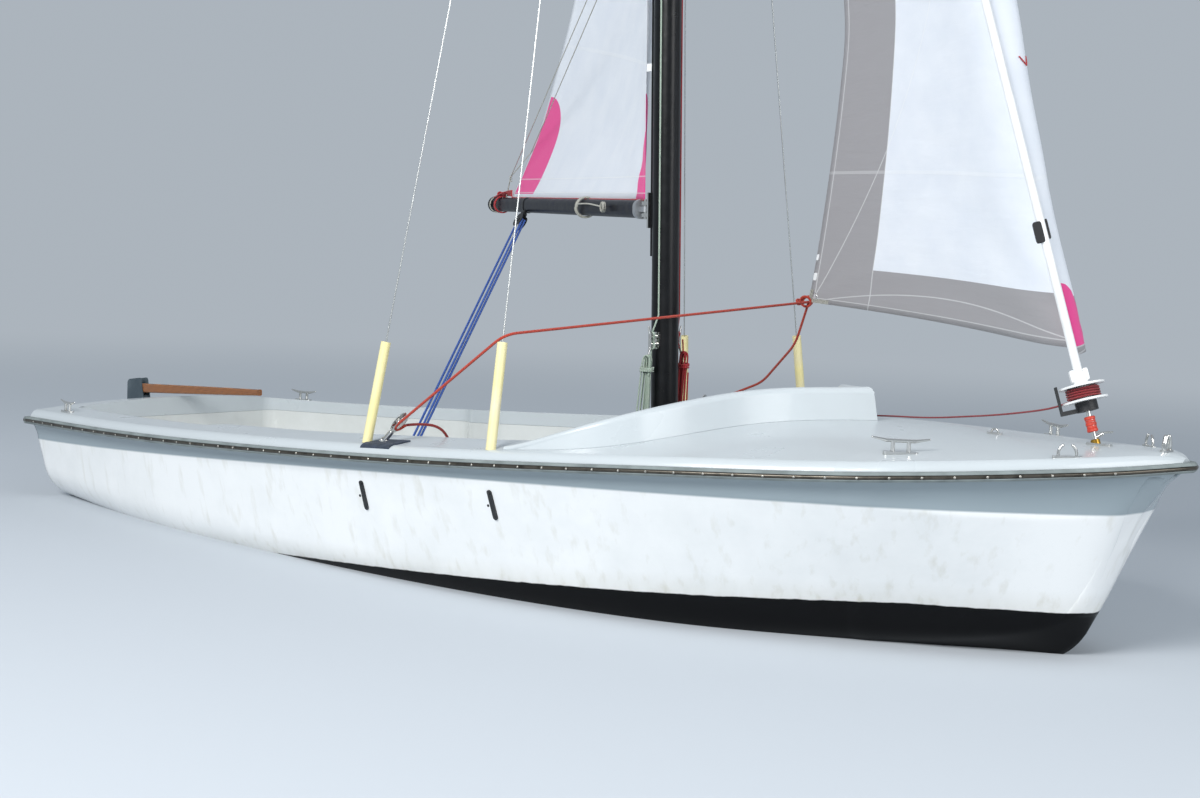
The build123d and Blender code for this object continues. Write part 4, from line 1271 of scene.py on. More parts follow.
@dataclass
class SailCut:
    """A sail's section table, smoothed over its height.

    Attributes:
        rows: distance along the luff, chord, twist in degrees, camber over chord and rise of the leech.
        luff_gap: distance of the luff behind its axis.
        draft: place of the deepest camber along the chord.
        entry: depth of the luff's round, over the chord-wise camber.
        entry_reach: distance from the luff at which that round is deepest.
    """

    rows: tuple[tuple[float, float, float, float, float], ...]
    luff_gap: float
    draft: float = 0.42
    entry: float = 0.0
    entry_reach: float = 0.05

    def at(self, heights: Points) -> Points:
        """The table's columns by straight lines between its rows, then smoothed.

        Args:
            heights: distances along the luff.

        Returns:
            Chord, twist, camber and rise, each with a value for each height.
        """
        table = np.array(self.rows)
        columns = [np.interp(heights, table[:, 0], table[:, i]) for i in range(1, 5)]
        return smoothed(np.array(columns), 12)

    def belly(self, share: Points, chord: Points) -> tuple[Points, Points]:
        """Camber 4 s (1 - s), s the share bent to peak at the draft, and the luff's round r e^(1 - r).

        Args:
            share: place along the chord, from 0 to 1.
            chord: the chord's length.

        Returns:
            The camber, over its depth, and the round in metres.
        """
        skew = share ** (math.log(0.5) / math.log(self.draft))
        reach = share * chord / self.entry_reach
        return 4 * skew * (1 - skew), self.entry * reach * np.exp(1 - reach)


# thickness of the sails' cloth, drawn thicker than the real 0.2 mm
CLOTH = 0.0012
# half the batten pockets' width, and the thickness of all sewn tapes
POCKET = 0.019
TAPE = 0.0044


@dataclass
class Mainsail:
    """The mainsail on its boom, with its batten pockets, headboard and bolt rope.

    Attributes:
        rows: points up the cloth.
        columns: points along each chord.
    """

    rows: int = 150
    columns: int = 64

    # the same sizes as the CAD sail's
    CUT = SailCut(
        rows=(
            (0.033, 2.10, 0.0, 0.006, 0.0), (0.30, 2.00, 2.7, 0.045, 0.0), (0.90, 1.79, 6.6, 0.075, 0.0),
            (1.90, 1.39, 7.5, 0.070, 0.0), (2.90, 0.93, 8.5, 0.060, 0.0), (3.80, 0.41, 9.0, 0.050, 0.0),
            (4.30, 0.095, 9.0, 0.030, 0.0),
        ),
        luff_gap=0.009,
    )
    FLAT = (2.15, 4.35)
    # the headboard's outline, aft and up from the head
    HEADBOARD = ((0.0, -0.16), (0.11, -0.16), (0.085, -0.02), (0.07, 0.0), (0.0, 0.0))

    def build(self) -> Points:
        """Make the cloth and everything sewn or tied to it.

        Returns:
            Its leech, from foot to head.
        """
        cloth, points = self.cloth()
        self.headboard(points)
        self.battens(points)
        bolt = tube(points[0, :] - BOOM_UP * 0.001, 0.0028, 8)
        make_piece("mainsail_bolt_rope", bolt, LINE_SCARLET, Body.BOOM, "halyard_red_rope")
        return points[:, -1]

    def cloth(self) -> tuple[bpy.types.Object, Points]:
        """Each point is the luff point, plus the chord's share along the swung direction, plus the belly.

        Returns:
            The piece and its grid of points.
        """
        cut = self.CUT
        height = np.linspace(cut.rows[0][0], cut.rows[-1][0], self.rows)
        chord, twist, camber, _ = cut.at(height)
        share = np.linspace(0, 1, self.columns)
        out = np.array([swung(MAST_AXIS, BOOM_ANGLE + t, BOOM_RISE) for t in twist])
        lee = unit(np.cross(out, MAST_AXIS))
        luff = BOOM_PIVOT + MAST_AXIS * height[:, None] + out * cut.luff_gap
        height, chord, camber = height[:, None], chord[:, None], camber[:, None]
        full, _ = cut.belly(share[None], chord)
        reach = (chord - cut.luff_gap) * share
        foot = np.broadcast_to(height - height[0], reach.shape)
        depth = full * chord * camber + self.creases(foot, reach, chord - reach)
        points = luff[:, None] + out[:, None] * reach[..., None] + lee[:, None] * depth[..., None]
        size = np.stack(np.broadcast_arrays(reach, height), -1)
        piece = make_piece("mainsail_cloth", lattice(points, size=size), MAIN_CLOTH, Body.BOOM, "sail_cloth")
        mark(piece, "luff", reach)
        mark(piece, "leech", chord - cut.luff_gap - reach)
        mark(piece, "foot", foot)
        thicken(piece, CLOTH)
        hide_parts("mainsail")
        return piece, points

    @staticmethod
    def creases(foot: Points, luff: Points, leech: Points) -> Points:
        """Small folds: waves that fan from the tack and the clew and fade, and pulls across the luff.

        Args:
            foot: distance from the foot.
            luff: distance from the luff.
            leech: distance from the leech.

        Returns:
            How far the cloth is pushed out.
        """
        fans = 0.0
        for edge, waves, fades in ((luff, 11, 0.5), (leech, 9, 0.4)):
            turn = np.arctan2(foot, edge + 0.02)
            far = np.hypot(foot, edge) + 0.05
            fans = fans + 0.004 * np.sin(turn * waves) * np.exp(-far / fades) * np.minimum(1, edge / 0.08)
        pull = 0.003 * np.sin(foot * math.tau / 0.47) * np.exp(-luff / 0.12) * np.minimum(1, luff / 0.03)
        return (fans + pull) * np.minimum(1, foot / 0.06)

    @staticmethod
    def area(points: Points) -> float:
        """Area of the cloth: half the length of the cross product of each quad's diagonals.

        Args:
            points: the cloth's grid.

        Returns:
            Square metres.
        """
        first = points[1:, 1:] - points[:-1, :-1]
        second = points[1:, :-1] - points[:-1, 1:]
        return float(np.linalg.norm(np.cross(first, second), axis=-1).sum() / 2)

    def headboard(self, points: Points) -> None:
        """Board riveted to both faces of the head.

        Args:
            points: the cloth's grid.
        """
        across = unit(points[-5, -1] - points[-5, 0])
        up = unit(points[-1, 0] - points[-9, 0])
        board = plate(self.HEADBOARD, points[-1, 0], across, up, 0.006)
        piece = make_piece("mainsail_headboard", board, MOULDED_WHITE, Body.BOOM, "furler_white")
        rounded_edges(piece, 0.0012)

    def battens(self, points: Points) -> None:
        """Pockets sewn from the leech inwards: strips that follow the cloth, 2 mm proud of each face.

        Args:
            points: the cloth's grid.
        """
        strips = []
        for height in (0.24, 0.43, 0.62, 0.81):
            row = int(height * (self.rows - 1))
            reach = max(8, int(self.columns * (0.30 + 0.25 * height)))
            up = unit(points[row + 3, -1] - points[row, -1])
            strips.append(tape(points[row, -reach:], up, -POCKET, POCKET, TAPE))
        make_piece("mainsail_batten_pockets", joined(strips), LINE_WHITE, Body.BOOM, "sail_cloth")


@dataclass
class Jib:
    """The furling jib: its cloth, what is sewn to its clew and leech, and its telltales.

    Attributes:
        rows: points up the cloth.
        columns: points along each chord.
    """

    rows: int = 150
    columns: int = 72

    # the CAD sail's sizes, with the tack lower and the luff rounder
    CUT = SailCut(
        rows=(
            (0.25, 1.316, 0.0, 0.060, 0.503), (1.50, 0.940, 9.4, 0.090, 0.119),
            (2.70, 0.620, 12.5, 0.090, 0.070), (3.90, 0.250, 14.0, 0.070, 0.025),
            (4.65, 0.040, 14.0, 0.030, 0.0),
        ),
        luff_gap=0.013,
        entry=0.075,
        entry_reach=0.05,
    )
    # where the luff's round is fuller: distance along the stay, and how much
    FULLER = ((0.75, 1.0), (1.4, 1.55), (2.6, 1.0))
    FLAT = (1.45, 4.6)
    # white tape at the clew, and the leech line's two buckles: row, width and height
    WEBBING = 0.014
    BUCKLES = ((4, 0.016, 0.028), (7, 0.010, 0.022))
    # the telltales' row, the columns of their tops, and the one that both hang to
    TALES_ROW = 31
    TALES_TOPS = (3, 6)
    TALES_FOOT = 5
    # the way from the cloth that they lie on
    NEAR = (0.60, -0.80, 0.0)

    def build(self) -> Points:
        """Make the cloth, its clew and telltales.

        Returns:
            The clew's place.
        """
        piece, points = self.cloth()
        Mainsail.area(points)
        self.clew_ring(points)
        self.webbing(points)
        self.buckles(points)
        self.telltales(points)
        return points[0, -1]

    def cloth(self) -> tuple[bpy.types.Object, Points]:
        """Each point is the stay point, plus the chord's share, the leech's rise and the belly.

        Returns:
            The piece and its grid of points.
        """
        cut = self.CUT
        along = np.linspace(cut.rows[0][0], cut.rows[-1][0], self.rows)
        chord, twist, camber, rise = (column[:, None] for column in cut.at(along))
        share = np.linspace(0, 1, self.columns) ** 1.25
        out = np.array([swung(STAY_AXIS, JIB_ANGLE + t) for t in twist[:, 0]])
        stay = STAY_FOOT + STAY_AXIS * along[:, None]
        luff = stay + out * cut.luff_gap
        span = stay + out * chord + STAY_AXIS * rise - luff
        lee = unit(np.cross(unit(span), STAY_AXIS))
        full, entry = cut.belly(share[None], chord)
        fuller = np.interp(along, *np.array(self.FULLER).T)[:, None]
        depth = full * chord * camber + entry * np.clip(chord / 0.5, 0.15, 1) * fuller
        reach = chord * share
        foot = np.broadcast_to((along - along[0])[:, None], reach.shape)
        depth = depth + Mainsail.creases(foot, reach, chord - reach)
        points = luff[:, None] + span[:, None] * share[None, :, None] + lee[:, None] * depth[..., None]
        size = np.stack(np.broadcast_arrays(reach, along[:, None]), -1)
        piece = make_piece("jib_cloth", lattice(points, size=size), JIB_CLOTH, Body.JIB, "sail_cloth")
        mark(piece, "luff", reach)
        mark(piece, "leech", chord - reach)
        mark(piece, "foot", foot)
        thicken(piece, CLOTH)
        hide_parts("jib")
        return piece, points

    @staticmethod
    def clew_ring(points: Points) -> None:
        """Pressed ring at the clew: a small closed loop turned about the cloth's normal.

        Args:
            points: the cloth's grid.
        """
        inwards = points[0, -6] - points[0, -1]
        up = points[6, -1] - points[0, -1]
        centre = points[0, -1] + unit(inwards) * 0.022 + unit(up) * 0.02
        profile = oval(1, 1, count=12) * 0.0035 + np.array((0.015, 0.0))
        ring = turned_about(profile, centre, unit(np.cross(inwards, up)), 24)
        make_piece("jib_clew_ring", ring, POLISHED, Body.JIB, "fitting_steel")

    def webbing(self, points: Points) -> None:
        """White tape sewn along the leech and the foot at the clew.

        Args:
            points: the cloth's grid.
        """
        strips = []
        for line, inner in (
            (points[:3, -1], points[0, -3]),
            (points[0, -1:-6:-1], points[1, -1]),
        ):
            inwards = unit(inner - line[0])
            strips.append(tape(split(line, 0.012), inwards, 0.0, self.WEBBING, TAPE))
        make_piece("jib_clew_webbing", joined(strips), LINE_WHITE, Body.JIB, "sail_cloth")

    def buckles(self, points: Points) -> None:
        """Two small buckles of the leech line.

        Args:
            points: the cloth's grid.
        """
        along = unit(points[6, -1] - points[3, -1])
        inwards = unit(points[4, -4] - points[4, -1])
        both = []
        for row, width, height in self.BUCKLES:
            place = points[row, -1] + inwards * width * 0.7
            both.append(plate(oval(width, height, 5.0, 16), place, inwards, along, 0.007))
        piece = make_piece("jib_leech_buckle", joined(both), MOULDED_WHITE, Body.JIB, "furler_white")
        rounded_edges(piece, 0.0012)

    def telltales(self, points: Points) -> None:
        """Two red streamers that hang in a V near the luff.

        Args:
            points: the cloth's grid.
        """
        near = vector(*self.NEAR) * 0.006
        low = points[self.TALES_ROW - 1, self.TALES_FOOT] + near
        streamers = []
        for column in self.TALES_TOPS:
            top = points[self.TALES_ROW, column] + near
            middle = (top + low) / 2 + near * 0.6
            streamers.append(tube(split(rounded(np.array((top, middle, low)), 0.01), 0.004), 0.0021, 6))
        make_piece("jib_telltales", joined(streamers), LINE_SCARLET, Body.JIB, "halyard_red_rope")


@dataclass
class BoomGear:
    """What is tied round the boom and at its end.

    Attributes:
        clear: distance of the rope's inner side from the boom's centre.
    """

    clear: float = 0.0335

    def around(self, along: float, turns: int, radius: float) -> Surface:
        """Round turns about the boom: a helix a little over its skin.

        Args:
            along: distance of the first turn along the boom.
            turns: number of turns.
            radius: half the rope's diameter.

        Returns:
            The rope.
        """
        t = np.linspace(0, turns * math.tau, turns * 24)[:, None]
        reach = self.clear + radius
        middle = boom_point(along) + BOOM_OUT * t / math.tau * 2.15 * radius
        return tube(middle + reach * (BOOM_ACROSS * np.cos(t) + BOOM_UP * np.sin(t)), radius, 8)

    def build(self, clew: Points) -> None:
        """Make the lashings, the reef line and the boom's plug.

        Args:
            clew: the mainsail's clew.
        """
        self.outhaul(clew)
        self.reef_line()
        body = plate(oval(0.074, 0.074, 2.0, 28), boom_point(2.441), BOOM_ACROSS, BOOM_UP, 0.016)
        plug = make_piece("boom_end_plug", body, MOULDED_BLACK, Body.BOOM, "furler_black")
        rounded_edges(plug, 0.003)

    def outhaul(self, clew: Points) -> None:
        """Red lashing: strands from the clew to the boom's end and turns round the boom, with a white tail.

        Args:
            clew: the mainsail's clew.
        """
        strands = [self.around(2.285, 4, 0.003)]
        for spread in (-2, -1, 0, 1, 2):
            end = boom_point(2.375 + 0.008 * spread, 0.009 * spread, 0.032)
            start = clew + BOOM_UP * 0.006 * (spread + 3) + BOOM_OUT * 0.003
            strands.append(tube(sagging(start, end, -0.006, 8), 0.003, 8))
        for spin in (0.0, 1.3, 2.6):
            tilt = unit(BOOM_UP + BOOM_OUT * math.cos(spin))
            place = boom_point(2.335, 0.008 * math.sin(spin * 2), 0.046)
            strands.append(loop(place, tilt, BOOM_ACROSS, 0.011, 0.003))
        make_piece("boom_outhaul_lashing", joined(strands), LINE_SCARLET, Body.BOOM, "halyard_red_rope")
        spots = ((2.40, -0.030, 0.020), (2.30, -0.042, 0.004), (2.20, -0.041, -0.006))
        tail = rounded(np.array([boom_point(*spot) for spot in spots]), 0.05)
        white = [tube(split(tail, 0.012), 0.0027, 8), self.around(2.395, 2, 0.0027)]
        make_piece("boom_outhaul_tail", joined(white), LINE_WHITE, Body.BOOM, "rope_white")

    def reef_line(self) -> None:
        """White line: three turns round the boom, a straight run and a small coil tied to its near side."""
        spots = ((0.80, 0.036, 0.012), (0.62, 0.039, 0.016), (0.43, 0.037, 0.004))
        run = rounded(np.array([boom_point(*spot) for spot in spots]), 0.1)
        pieces = [self.around(0.795, 3, 0.0042), tube(split(run, 0.02), 0.003, 8)]
        for turn, radius in enumerate((0.017, 0.0155, 0.0175, 0.015)):
            place = boom_point(0.40 - 0.003 * turn, 0.0385 + 0.004 * turn, 0.004)
            pieces.append(loop(place, BOOM_OUT, BOOM_UP, radius, 0.0028, count=18))
        make_piece("boom_reef_line", joined(pieces), LINE_WHITE, Body.BOOM, "rope_white")


@dataclass
class FurlerGear:
    """Tape and sleeve round the forestay's foot, and the clips of the luff foil.

    Attributes:
        bore: inner radius of the tape and the sleeve.
    """

    bore: float = 0.006

    # the tape's turns: their count, the first one's height, the step to the next and a turn's height
    TURNS = 5
    LOWEST = 0.022
    STEP = 0.0088
    TURN = 0.0102
    # the way to the clip's near side
    NEAR = (0.64, -0.77, 0.0)

    @staticmethod
    def ring(low: float, high: float, inner: float, outer: float) -> Surface:
        """Ring round the stay with rounded rims: its profile turned about the stay.

        Args:
            low: distance of its lower end along the stay.
            high: distance of its upper end.
            inner: its inner radius.
            outer: its outer radius.

        Returns:
            The ring.
        """
        lip = min(0.002, (outer - inner) / 2)
        profile = (
            (inner, low), (outer - lip, low), (outer, low + lip),
            (outer, high - lip), (outer - lip, high), (inner, high),
        )
        return turned_about(np.array(profile), STAY_FOOT, STAY_AXIS, 28)

    def build(self) -> None:
        """Wind the tape, set the sleeve and clip the foil."""
        turns = []
        for turn in range(self.TURNS):
            low = self.LOWEST + self.STEP * turn
            turns.append(self.ring(low, low + self.TURN, self.bore, 0.0158 - 0.0012 * (turn % 2)))
        make_piece("stay_tape", joined(turns), RED_TAPE, Body.HULL, "line_red")
        sleeve_ring = self.ring(-0.022, 0.0, self.bore, 0.0135)
        make_piece("stay_sleeve", sleeve_ring, BRASS, Body.HULL, "fitting_steel")
        near = vector(*self.NEAR)
        across = unit(np.cross(STAY_AXIS, near))
        place = stay_point(0.626) - across * 0.0145 + near * 0.008
        jaw = plate(oval(0.026, 0.064, 6.0, 20), place, across, STAY_AXIS, 0.012)
        place = stay_point(0.630) + across * 0.0145
        back = plate(oval(0.007, 0.060, 6.0, 20), place, across, STAY_AXIS, 0.018)
        clip = make_piece("foil_clip", joined([jaw, back]), MOULDED_BLACK, Body.JIB, "furler_black")
        rounded_edges(clip, 0.001)
        foot = [self.ring(0.175, 0.20, 0.012, 0.017)]
        for way in (-1, 1):
            place = stay_point(0.190) + across * way * 0.0195
            foot.append(plate(oval(0.015, 0.036, 5.0, 20), place, across, STAY_AXIS, 0.020))
        piece = make_piece("foil_foot", joined(foot), MOULDED_WHITE, Body.JIB, "furler_white")
        rounded_edges(piece, 0.0015)


@dataclass
class Hank:
    """A halyard's tail made up in long turns and hung beside the mast, held by a tie.

    Attributes:
        name: the piece's name.
        side: the side of the mast.
        finish: the rope.
        slot: the record's material slot.
        aft: distance aft of the mast's centre.
        out: distance from the centre plane.
        top: height of the top.
        length: height of the hank.
        width: its width along the boat.
        depth: its width across the boat.
        turns: number of turns.
        radius: half the rope's diameter.
    """

    name: str
    side: Side
    finish: Braid
    slot: str
    aft: float
    out: float
    top: float
    length: float
    width: float
    depth: float
    turns: int = 5
    radius: float = 0.0028

    def build(self) -> None:
        """Wind the rope and tie it."""
        route = self.route()
        line = spline_line(route)
        rope = make_piece(self.name, tube(line, self.radius, 8), self.finish, Body.HULL, self.slot)
        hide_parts(self.name)
        tie = make_piece(f"{self.name}_tie", self.tie(), self.finish, Body.HULL, self.slot)

    def centre(self) -> Points:
        """Return the hank's centre."""
        return mast_point(self.top - self.length / 2) + vector(-self.aft, self.side.value * self.out, 0)

    # one turn: the angle on its half circles, and the height over its middle as a share of its straight run
    ANGLES = (0, 45, 90, 135, 180, 180, 180, 180, 180, 225, 270, 315, 360, 360, 360, 360)
    LEVELS = (1, 1, 1, 1, 1, 0.5, 0, -0.5, -1, -1, -1, -1, -1, -0.5, 0, 0.5)
    TIE_TURNS = 3
    # distance of the tie under the hank's top
    TIE_DROP = 0.046

    def route(self) -> Points:
        """Turns of a long loop: half circles above and below joined by straight runs, narrower at the top,
        each turn of its own width and a little further across.

        Returns:
            The rope's control points.
        """
        angle, level = np.radians(self.ANGLES), np.array(self.LEVELS)
        step = np.arange(self.turns * len(angle))
        turn, spot = step // len(angle), step % len(angle)
        share = ((turn * 2 + 1) % self.turns) / (self.turns - 1)
        end = (self.width / 2 - self.radius) * (0.2 + 0.8 * share)
        drop = np.where(level[spot] < 0, 0.012 * (1 + np.sin(turn * 2.4)), 0.0)
        run = self.length / 2 - self.radius - end - drop
        across = (step / len(step) - 0.5) * (self.depth - 2 * self.radius)
        fan = np.interp(level[spot], (-1, 1), (1.05, 0.7))
        lean = np.interp(level[spot], (-1, 1), (0.0, 0.14 * self.width))
        x = end * fan * np.cos(angle[spot]) + lean
        z = run * level[spot] + end * np.sin(angle[spot])
        turns = self.centre() + np.stack([x, across * self.side.value, z], -1)
        lead = turns[0] + vector(-0.004, -self.side.value * 0.002, 0.05) * np.array(((1.0,), (0.5,)))
        return np.concatenate([lead, turns])

    def tie(self) -> Surface:
        """Round turns about the bundle under its top, one under the other.

        Returns:
            The tie.
        """
        turns = []
        for turn in range(self.TIE_TURNS):
            up = self.length / 2 - self.TIE_DROP - turn * 2.1 * self.radius
            place = self.centre() + vector(0.11 * self.width, 0, up)
            ring = oval(0.8 * self.width + 1.2 * self.radius, self.depth + self.radius, 3.0, 28)
            wave = 0.002 * np.sin(np.arange(28) * math.tau / 28 + turn)
            turns.append(tube(place + np.column_stack([ring, wave]), self.radius, 8, closed=True))
        return joined(turns)


@dataclass
class JibSheet:
    """One jib sheet: from the clew round its block on the deck, and the tail that lies on the bench.

    Attributes:
        side: the side that it is led to.
        leads: points between the clew and the block, as on the port side.
        radius: half the rope's diameter.
        wrap: distance of the rope's centre from the sheave's.
    """

    side: Side
    leads: tuple[tuple[float, float, float], ...]
    radius: float = 0.0045
    wrap: float = 0.0155

    # the tail's route: X, half breadth and Z in metres
    TAIL = (
        (0.009, 0.792, 0.521), (0.044, 0.746, 0.528), (0.076, 0.694, 0.514), (0.090, 0.664, 0.462),
        (0.092, 0.655, 0.400), (0.089, 0.650, 0.330), (0.078, 0.642, 0.262), (0.040, 0.622, 0.212),
        (-0.030, 0.596, 0.203), (-0.105, 0.588, 0.203), (-0.180, 0.596, 0.203), (-0.255, 0.582, 0.203),
        (-0.325, 0.548, 0.203), (-0.395, 0.536, 0.203), (-0.470, 0.548, 0.203),
    )
    TAIL_LENGTH = 0.97
    # the sheave's centre, and the way that the block is pulled
    SHEAVE = (0.0041, 0.8173, 0.518)
    PULL = (0.543, -0.304, 0.782)
    # a third of the stopper knot's half width
    KNOT = 0.0030
    # angles of the rope round the sheave, from outboard
    ON_SHEAVE = (17, -137)

    def build(self, clew: Points) -> None:
        """Lead the sheet and lay its tail.

        Args:
            clew: where the sheet is tied to the jib.
        """
        name = self.side.name.lower()
        mirror = vector(1, self.side.value, 1)
        pull = unit(np.array(self.PULL))
        outboard = unit(vector(0, 1, 0) - pull * pull[1])
        # down the sheave's outboard side, under it and up its inboard side
        turn = arc(np.array(self.SHEAVE), outboard, pull, self.wrap, *self.ON_SHEAVE, 14) * mirror
        led = rounded(np.concatenate([clew[None], np.array(self.leads) * mirror, turn[:1]]), 0.05)
        path = np.concatenate([led, turn, np.array(self.TAIL[:1]) * mirror])
        rope = tube(split(path, 0.008), self.radius)
        piece = make_piece(f"jib_sheet_{name}", rope, SHEET_ORANGE, None, "sheet_orange_rope")
        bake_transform(piece)
        self.tail(name, mirror)

    def tail(self, name: str, mirror: Points) -> None:
        """The loose end, with its stopper knot.

        Args:
            name: the side's name.
            mirror: signs of the side.
        """
        line = spline_line(np.array(self.TAIL) * mirror)
        dressed = (SHEET_DARK, Body.HULL, "sheet_orange_rope")
        rope = make_piece(f"jib_sheet_tail_{name}", tube(line, self.radius), *dressed)
        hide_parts(f"jib_sheet_tail_{name}")
        knot = make_piece(f"jib_sheet_knot_{name}", self.knot(line[-1], line[-1] - line[-4]), *dressed)

    def knot(self, place: Points, along: Points) -> Surface:
        """Figure-of-eight knot: (2 + cos 2t) cos 3t, (2 + cos 2t) sin 3t and sin 4t, drawn tight.

        Args:
            place: the rope's end.
            along: the way that the rope runs there.

        Returns:
            The knot.
        """
        t = np.linspace(0, math.tau, 90, endpoint=False)
        ring = 2 + np.cos(2 * t)
        axis = unit(along)
        first, second = square_to(axis, vector(0, 0, 1))
        spots = np.stack([ring * np.cos(3 * t), ring * np.sin(3 * t), 1.25 * np.sin(4 * t)], -1)
        body = spots @ np.array((axis, first, second)) * self.KNOT
        middle = place - axis * 0.010 + vector(0, 0, 0.004)
        return tube(middle + body, self.radius * 0.92, 8, closed=True)


@dataclass
class Rigging:
    """The ropes that the boat is sailed with.

    Attributes:
        sheet_radius: half the mainsheet's diameter.
        line_radius: half a thin line's diameter.
    """

    sheet_radius: float = 0.0048
    line_radius: float = 0.003

    # points on the way to each side's block
    LEADS = {
        Side.STARBOARD: ((0.443, 0.812, 0.845),),
        Side.PORT: ((0.55, 0.62, 0.80), (0.33, 0.74, 0.64)),
    }
    # the hanks: aft of the mast, out of the centre plane, top, height, width and depth
    HANKS = {
        Side.STARBOARD: (LINE_GREEN, "halyard_green_rope", 0.030, 0.072, 0.768, 0.262, 0.054, 0.026),
        Side.PORT: (LINE_SCARLET, "halyard_red_rope", -0.013, 0.074, 0.780, 0.250, 0.046, 0.026),
    }
    # mainsheet: the lower block's foot, and the distances of the two sheaves from it and from the boom
    SHEET_FOOT = (-0.80, 0.0, 0.235)
    SHEET_OUT = 1.785
    SHEAVE = 0.019
    FALLS_APART = 0.018
    # the furling line's way over the deck
    FURLING = (
        (1.968, 0.048, 0.772), (1.846, 0.122, 0.709), (1.546, 0.317, 0.651), (1.145, 0.576, 0.591),
        (0.817, 0.789, 0.560), (0.362, 0.800, 0.516), (0.325, 0.800, 0.514),
    )
    # layers of line on the drum: radius, start and end along the stay, turns and wobble
    WOUND = ((0.0415, 0.122, 0.152, 5, 0.0), (0.0470, 0.153, 0.123, 4, 0.001))

    def build(self, clew: Points, leech: Points) -> None:
        """Lead every rope.

        Args:
            clew: the jib's clew, where both sheets are tied.
            leech: the mainsail's leech, from foot to head.
        """
        for side, leads in self.LEADS.items():
            JibSheet(side, leads).build(clew)
        self.bowline(clew)
        self.mainsheet()
        self.furling_line()
        self.furled_turns()
        self.halyards()
        for side, sizes in self.HANKS.items():
            Hank(f"halyard_hank_{side.name.lower()}", side, *sizes).build()
        self.lazy_jacks(leech)

    def bowline(self, clew: Points) -> None:
        """Loops of both sheets through the clew's ring, and the knots beside it.

        Args:
            clew: the jib's clew.
        """
        aft = unit(vector(-1.0, -0.25, -0.05))
        turns = []
        for side in (-1, 1):
            middle = clew + vector(0.008, 0.005 * side, 0.002) + aft * 0.016
            turns.append(loop(middle, aft, vector(0, 0.35 * side, 0.94), 0.019, 0.0044, count=16))
        for spin, reach in ((0, 0.028), (2.1, 0.036), (4.2, 0.033)):
            across = vector(0, math.cos(spin), math.sin(spin))
            middle = clew + aft * reach + across * 0.003
            turns.append(loop(middle, unit(aft + 0.6 * across), np.cross(aft, across), 0.0085, 0.0046))
        make_piece("jib_sheet_bowlines", joined(turns), SHEET_ORANGE, Body.JIB, "sheet_orange_rope")

    def mainsheet(self) -> None:
        """Three falls between the sheaves of the block on the case and the one under the boom."""
        foot = vector(*self.SHEET_FOOT)
        under = boom_point(self.SHEET_OUT)
        pull = unit(under - foot)
        low = foot + vector(0, 0, 0.020) + pull * 0.049
        high = under - pull * 0.103
        across = unit(np.cross(vector(0, 1, 0), pull))
        over = arc(high, across, pull, self.SHEAVE, 0, 180, 9)
        beneath = arc(low, -across, -pull, self.SHEAVE, 0, 180, 9)
        side = across * self.SHEAVE
        path = np.concatenate([(low + side)[None], over, beneath, (high + side)[None]])
        turn = np.linspace(0, 1, 9)
        shift = np.concatenate([[0], turn * 0.4, 0.4 + turn * 0.6, [1]])[:, None] - 0.5
        path = path + vector(0, 1, 0) * shift * self.FALLS_APART
        rope = tube(split(path, 0.012), self.sheet_radius, 9)
        piece = make_piece("mainsheet", rope, SHEET_BLUE, None, "mainsheet_rope")
        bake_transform(piece)

    def furling_line(self) -> None:
        """The line from the drum, low over the port deck, to its cleat by the coaming."""
        path = split(rounded(np.array(self.FURLING), 0.16), 0.02)
        make_piece("furling_line", tube(path, self.line_radius), LINE_RED, Body.HULL, "line_red")

    def furled_turns(self) -> None:
        """The line wound on the drum: two layers of a helix, each point at its height up the stay."""
        first = vector(0, 1, 0)
        second = np.cross(STAY_AXIS, first)
        layers = []
        for radius, low, high, turns, wobble in self.WOUND:
            t = np.linspace(0, 1, turns * 26)[:, None]
            spin = t * turns * math.tau
            wide = radius + wobble * np.sin(spin)
            round_it = (first * np.cos(spin) + second * np.sin(spin)) * wide
            layers.append(STAY_FOOT + STAY_AXIS * (low + (high - low) * t) + round_it)
        rope = tube(np.concatenate(layers), self.line_radius, 8)
        piece = make_piece("furling_line_turns", rope, LINE_RED, Body.JIB, "line_red")
        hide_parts("furling_turns")

    def halyards(self) -> None:
        """Halyards flat against the mast's sides, each belayed on its cleat in a figure of eight."""
        for finish, ahead, side, slot in (
            (LINE_GREEN, 0.008, Side.STARBOARD, "halyard_green_rope"),
            (LINE_SCARLET, 0.030, Side.PORT, "halyard_red_rope"),
        ):
            offset = vector(ahead, side.value * (0.0475 - 0.25 * ahead), 0)
            out = vector(0, side.value, 0)
            t = np.linspace(0, 1.5, 48)[:, None]
            aside = 0.009 * np.sin(t * 2 * math.tau) * vector(1, 0, 0)
            eight = mast_point(0.815) + aside + 0.028 * np.cos(t * math.tau) * MAST_AXIS
            eight = eight + out * (0.066 + 0.0035 * t + 0.003 * np.cos(t * 2 * math.tau))
            down = np.array((mast_point(5.55) + offset, mast_point(0.90) + offset))
            rope = tube(np.concatenate([split(down, 0.05), eight]), self.line_radius, 8)
            make_piece(f"halyard_{side.name.lower()}", rope, finish, Body.HULL, slot)

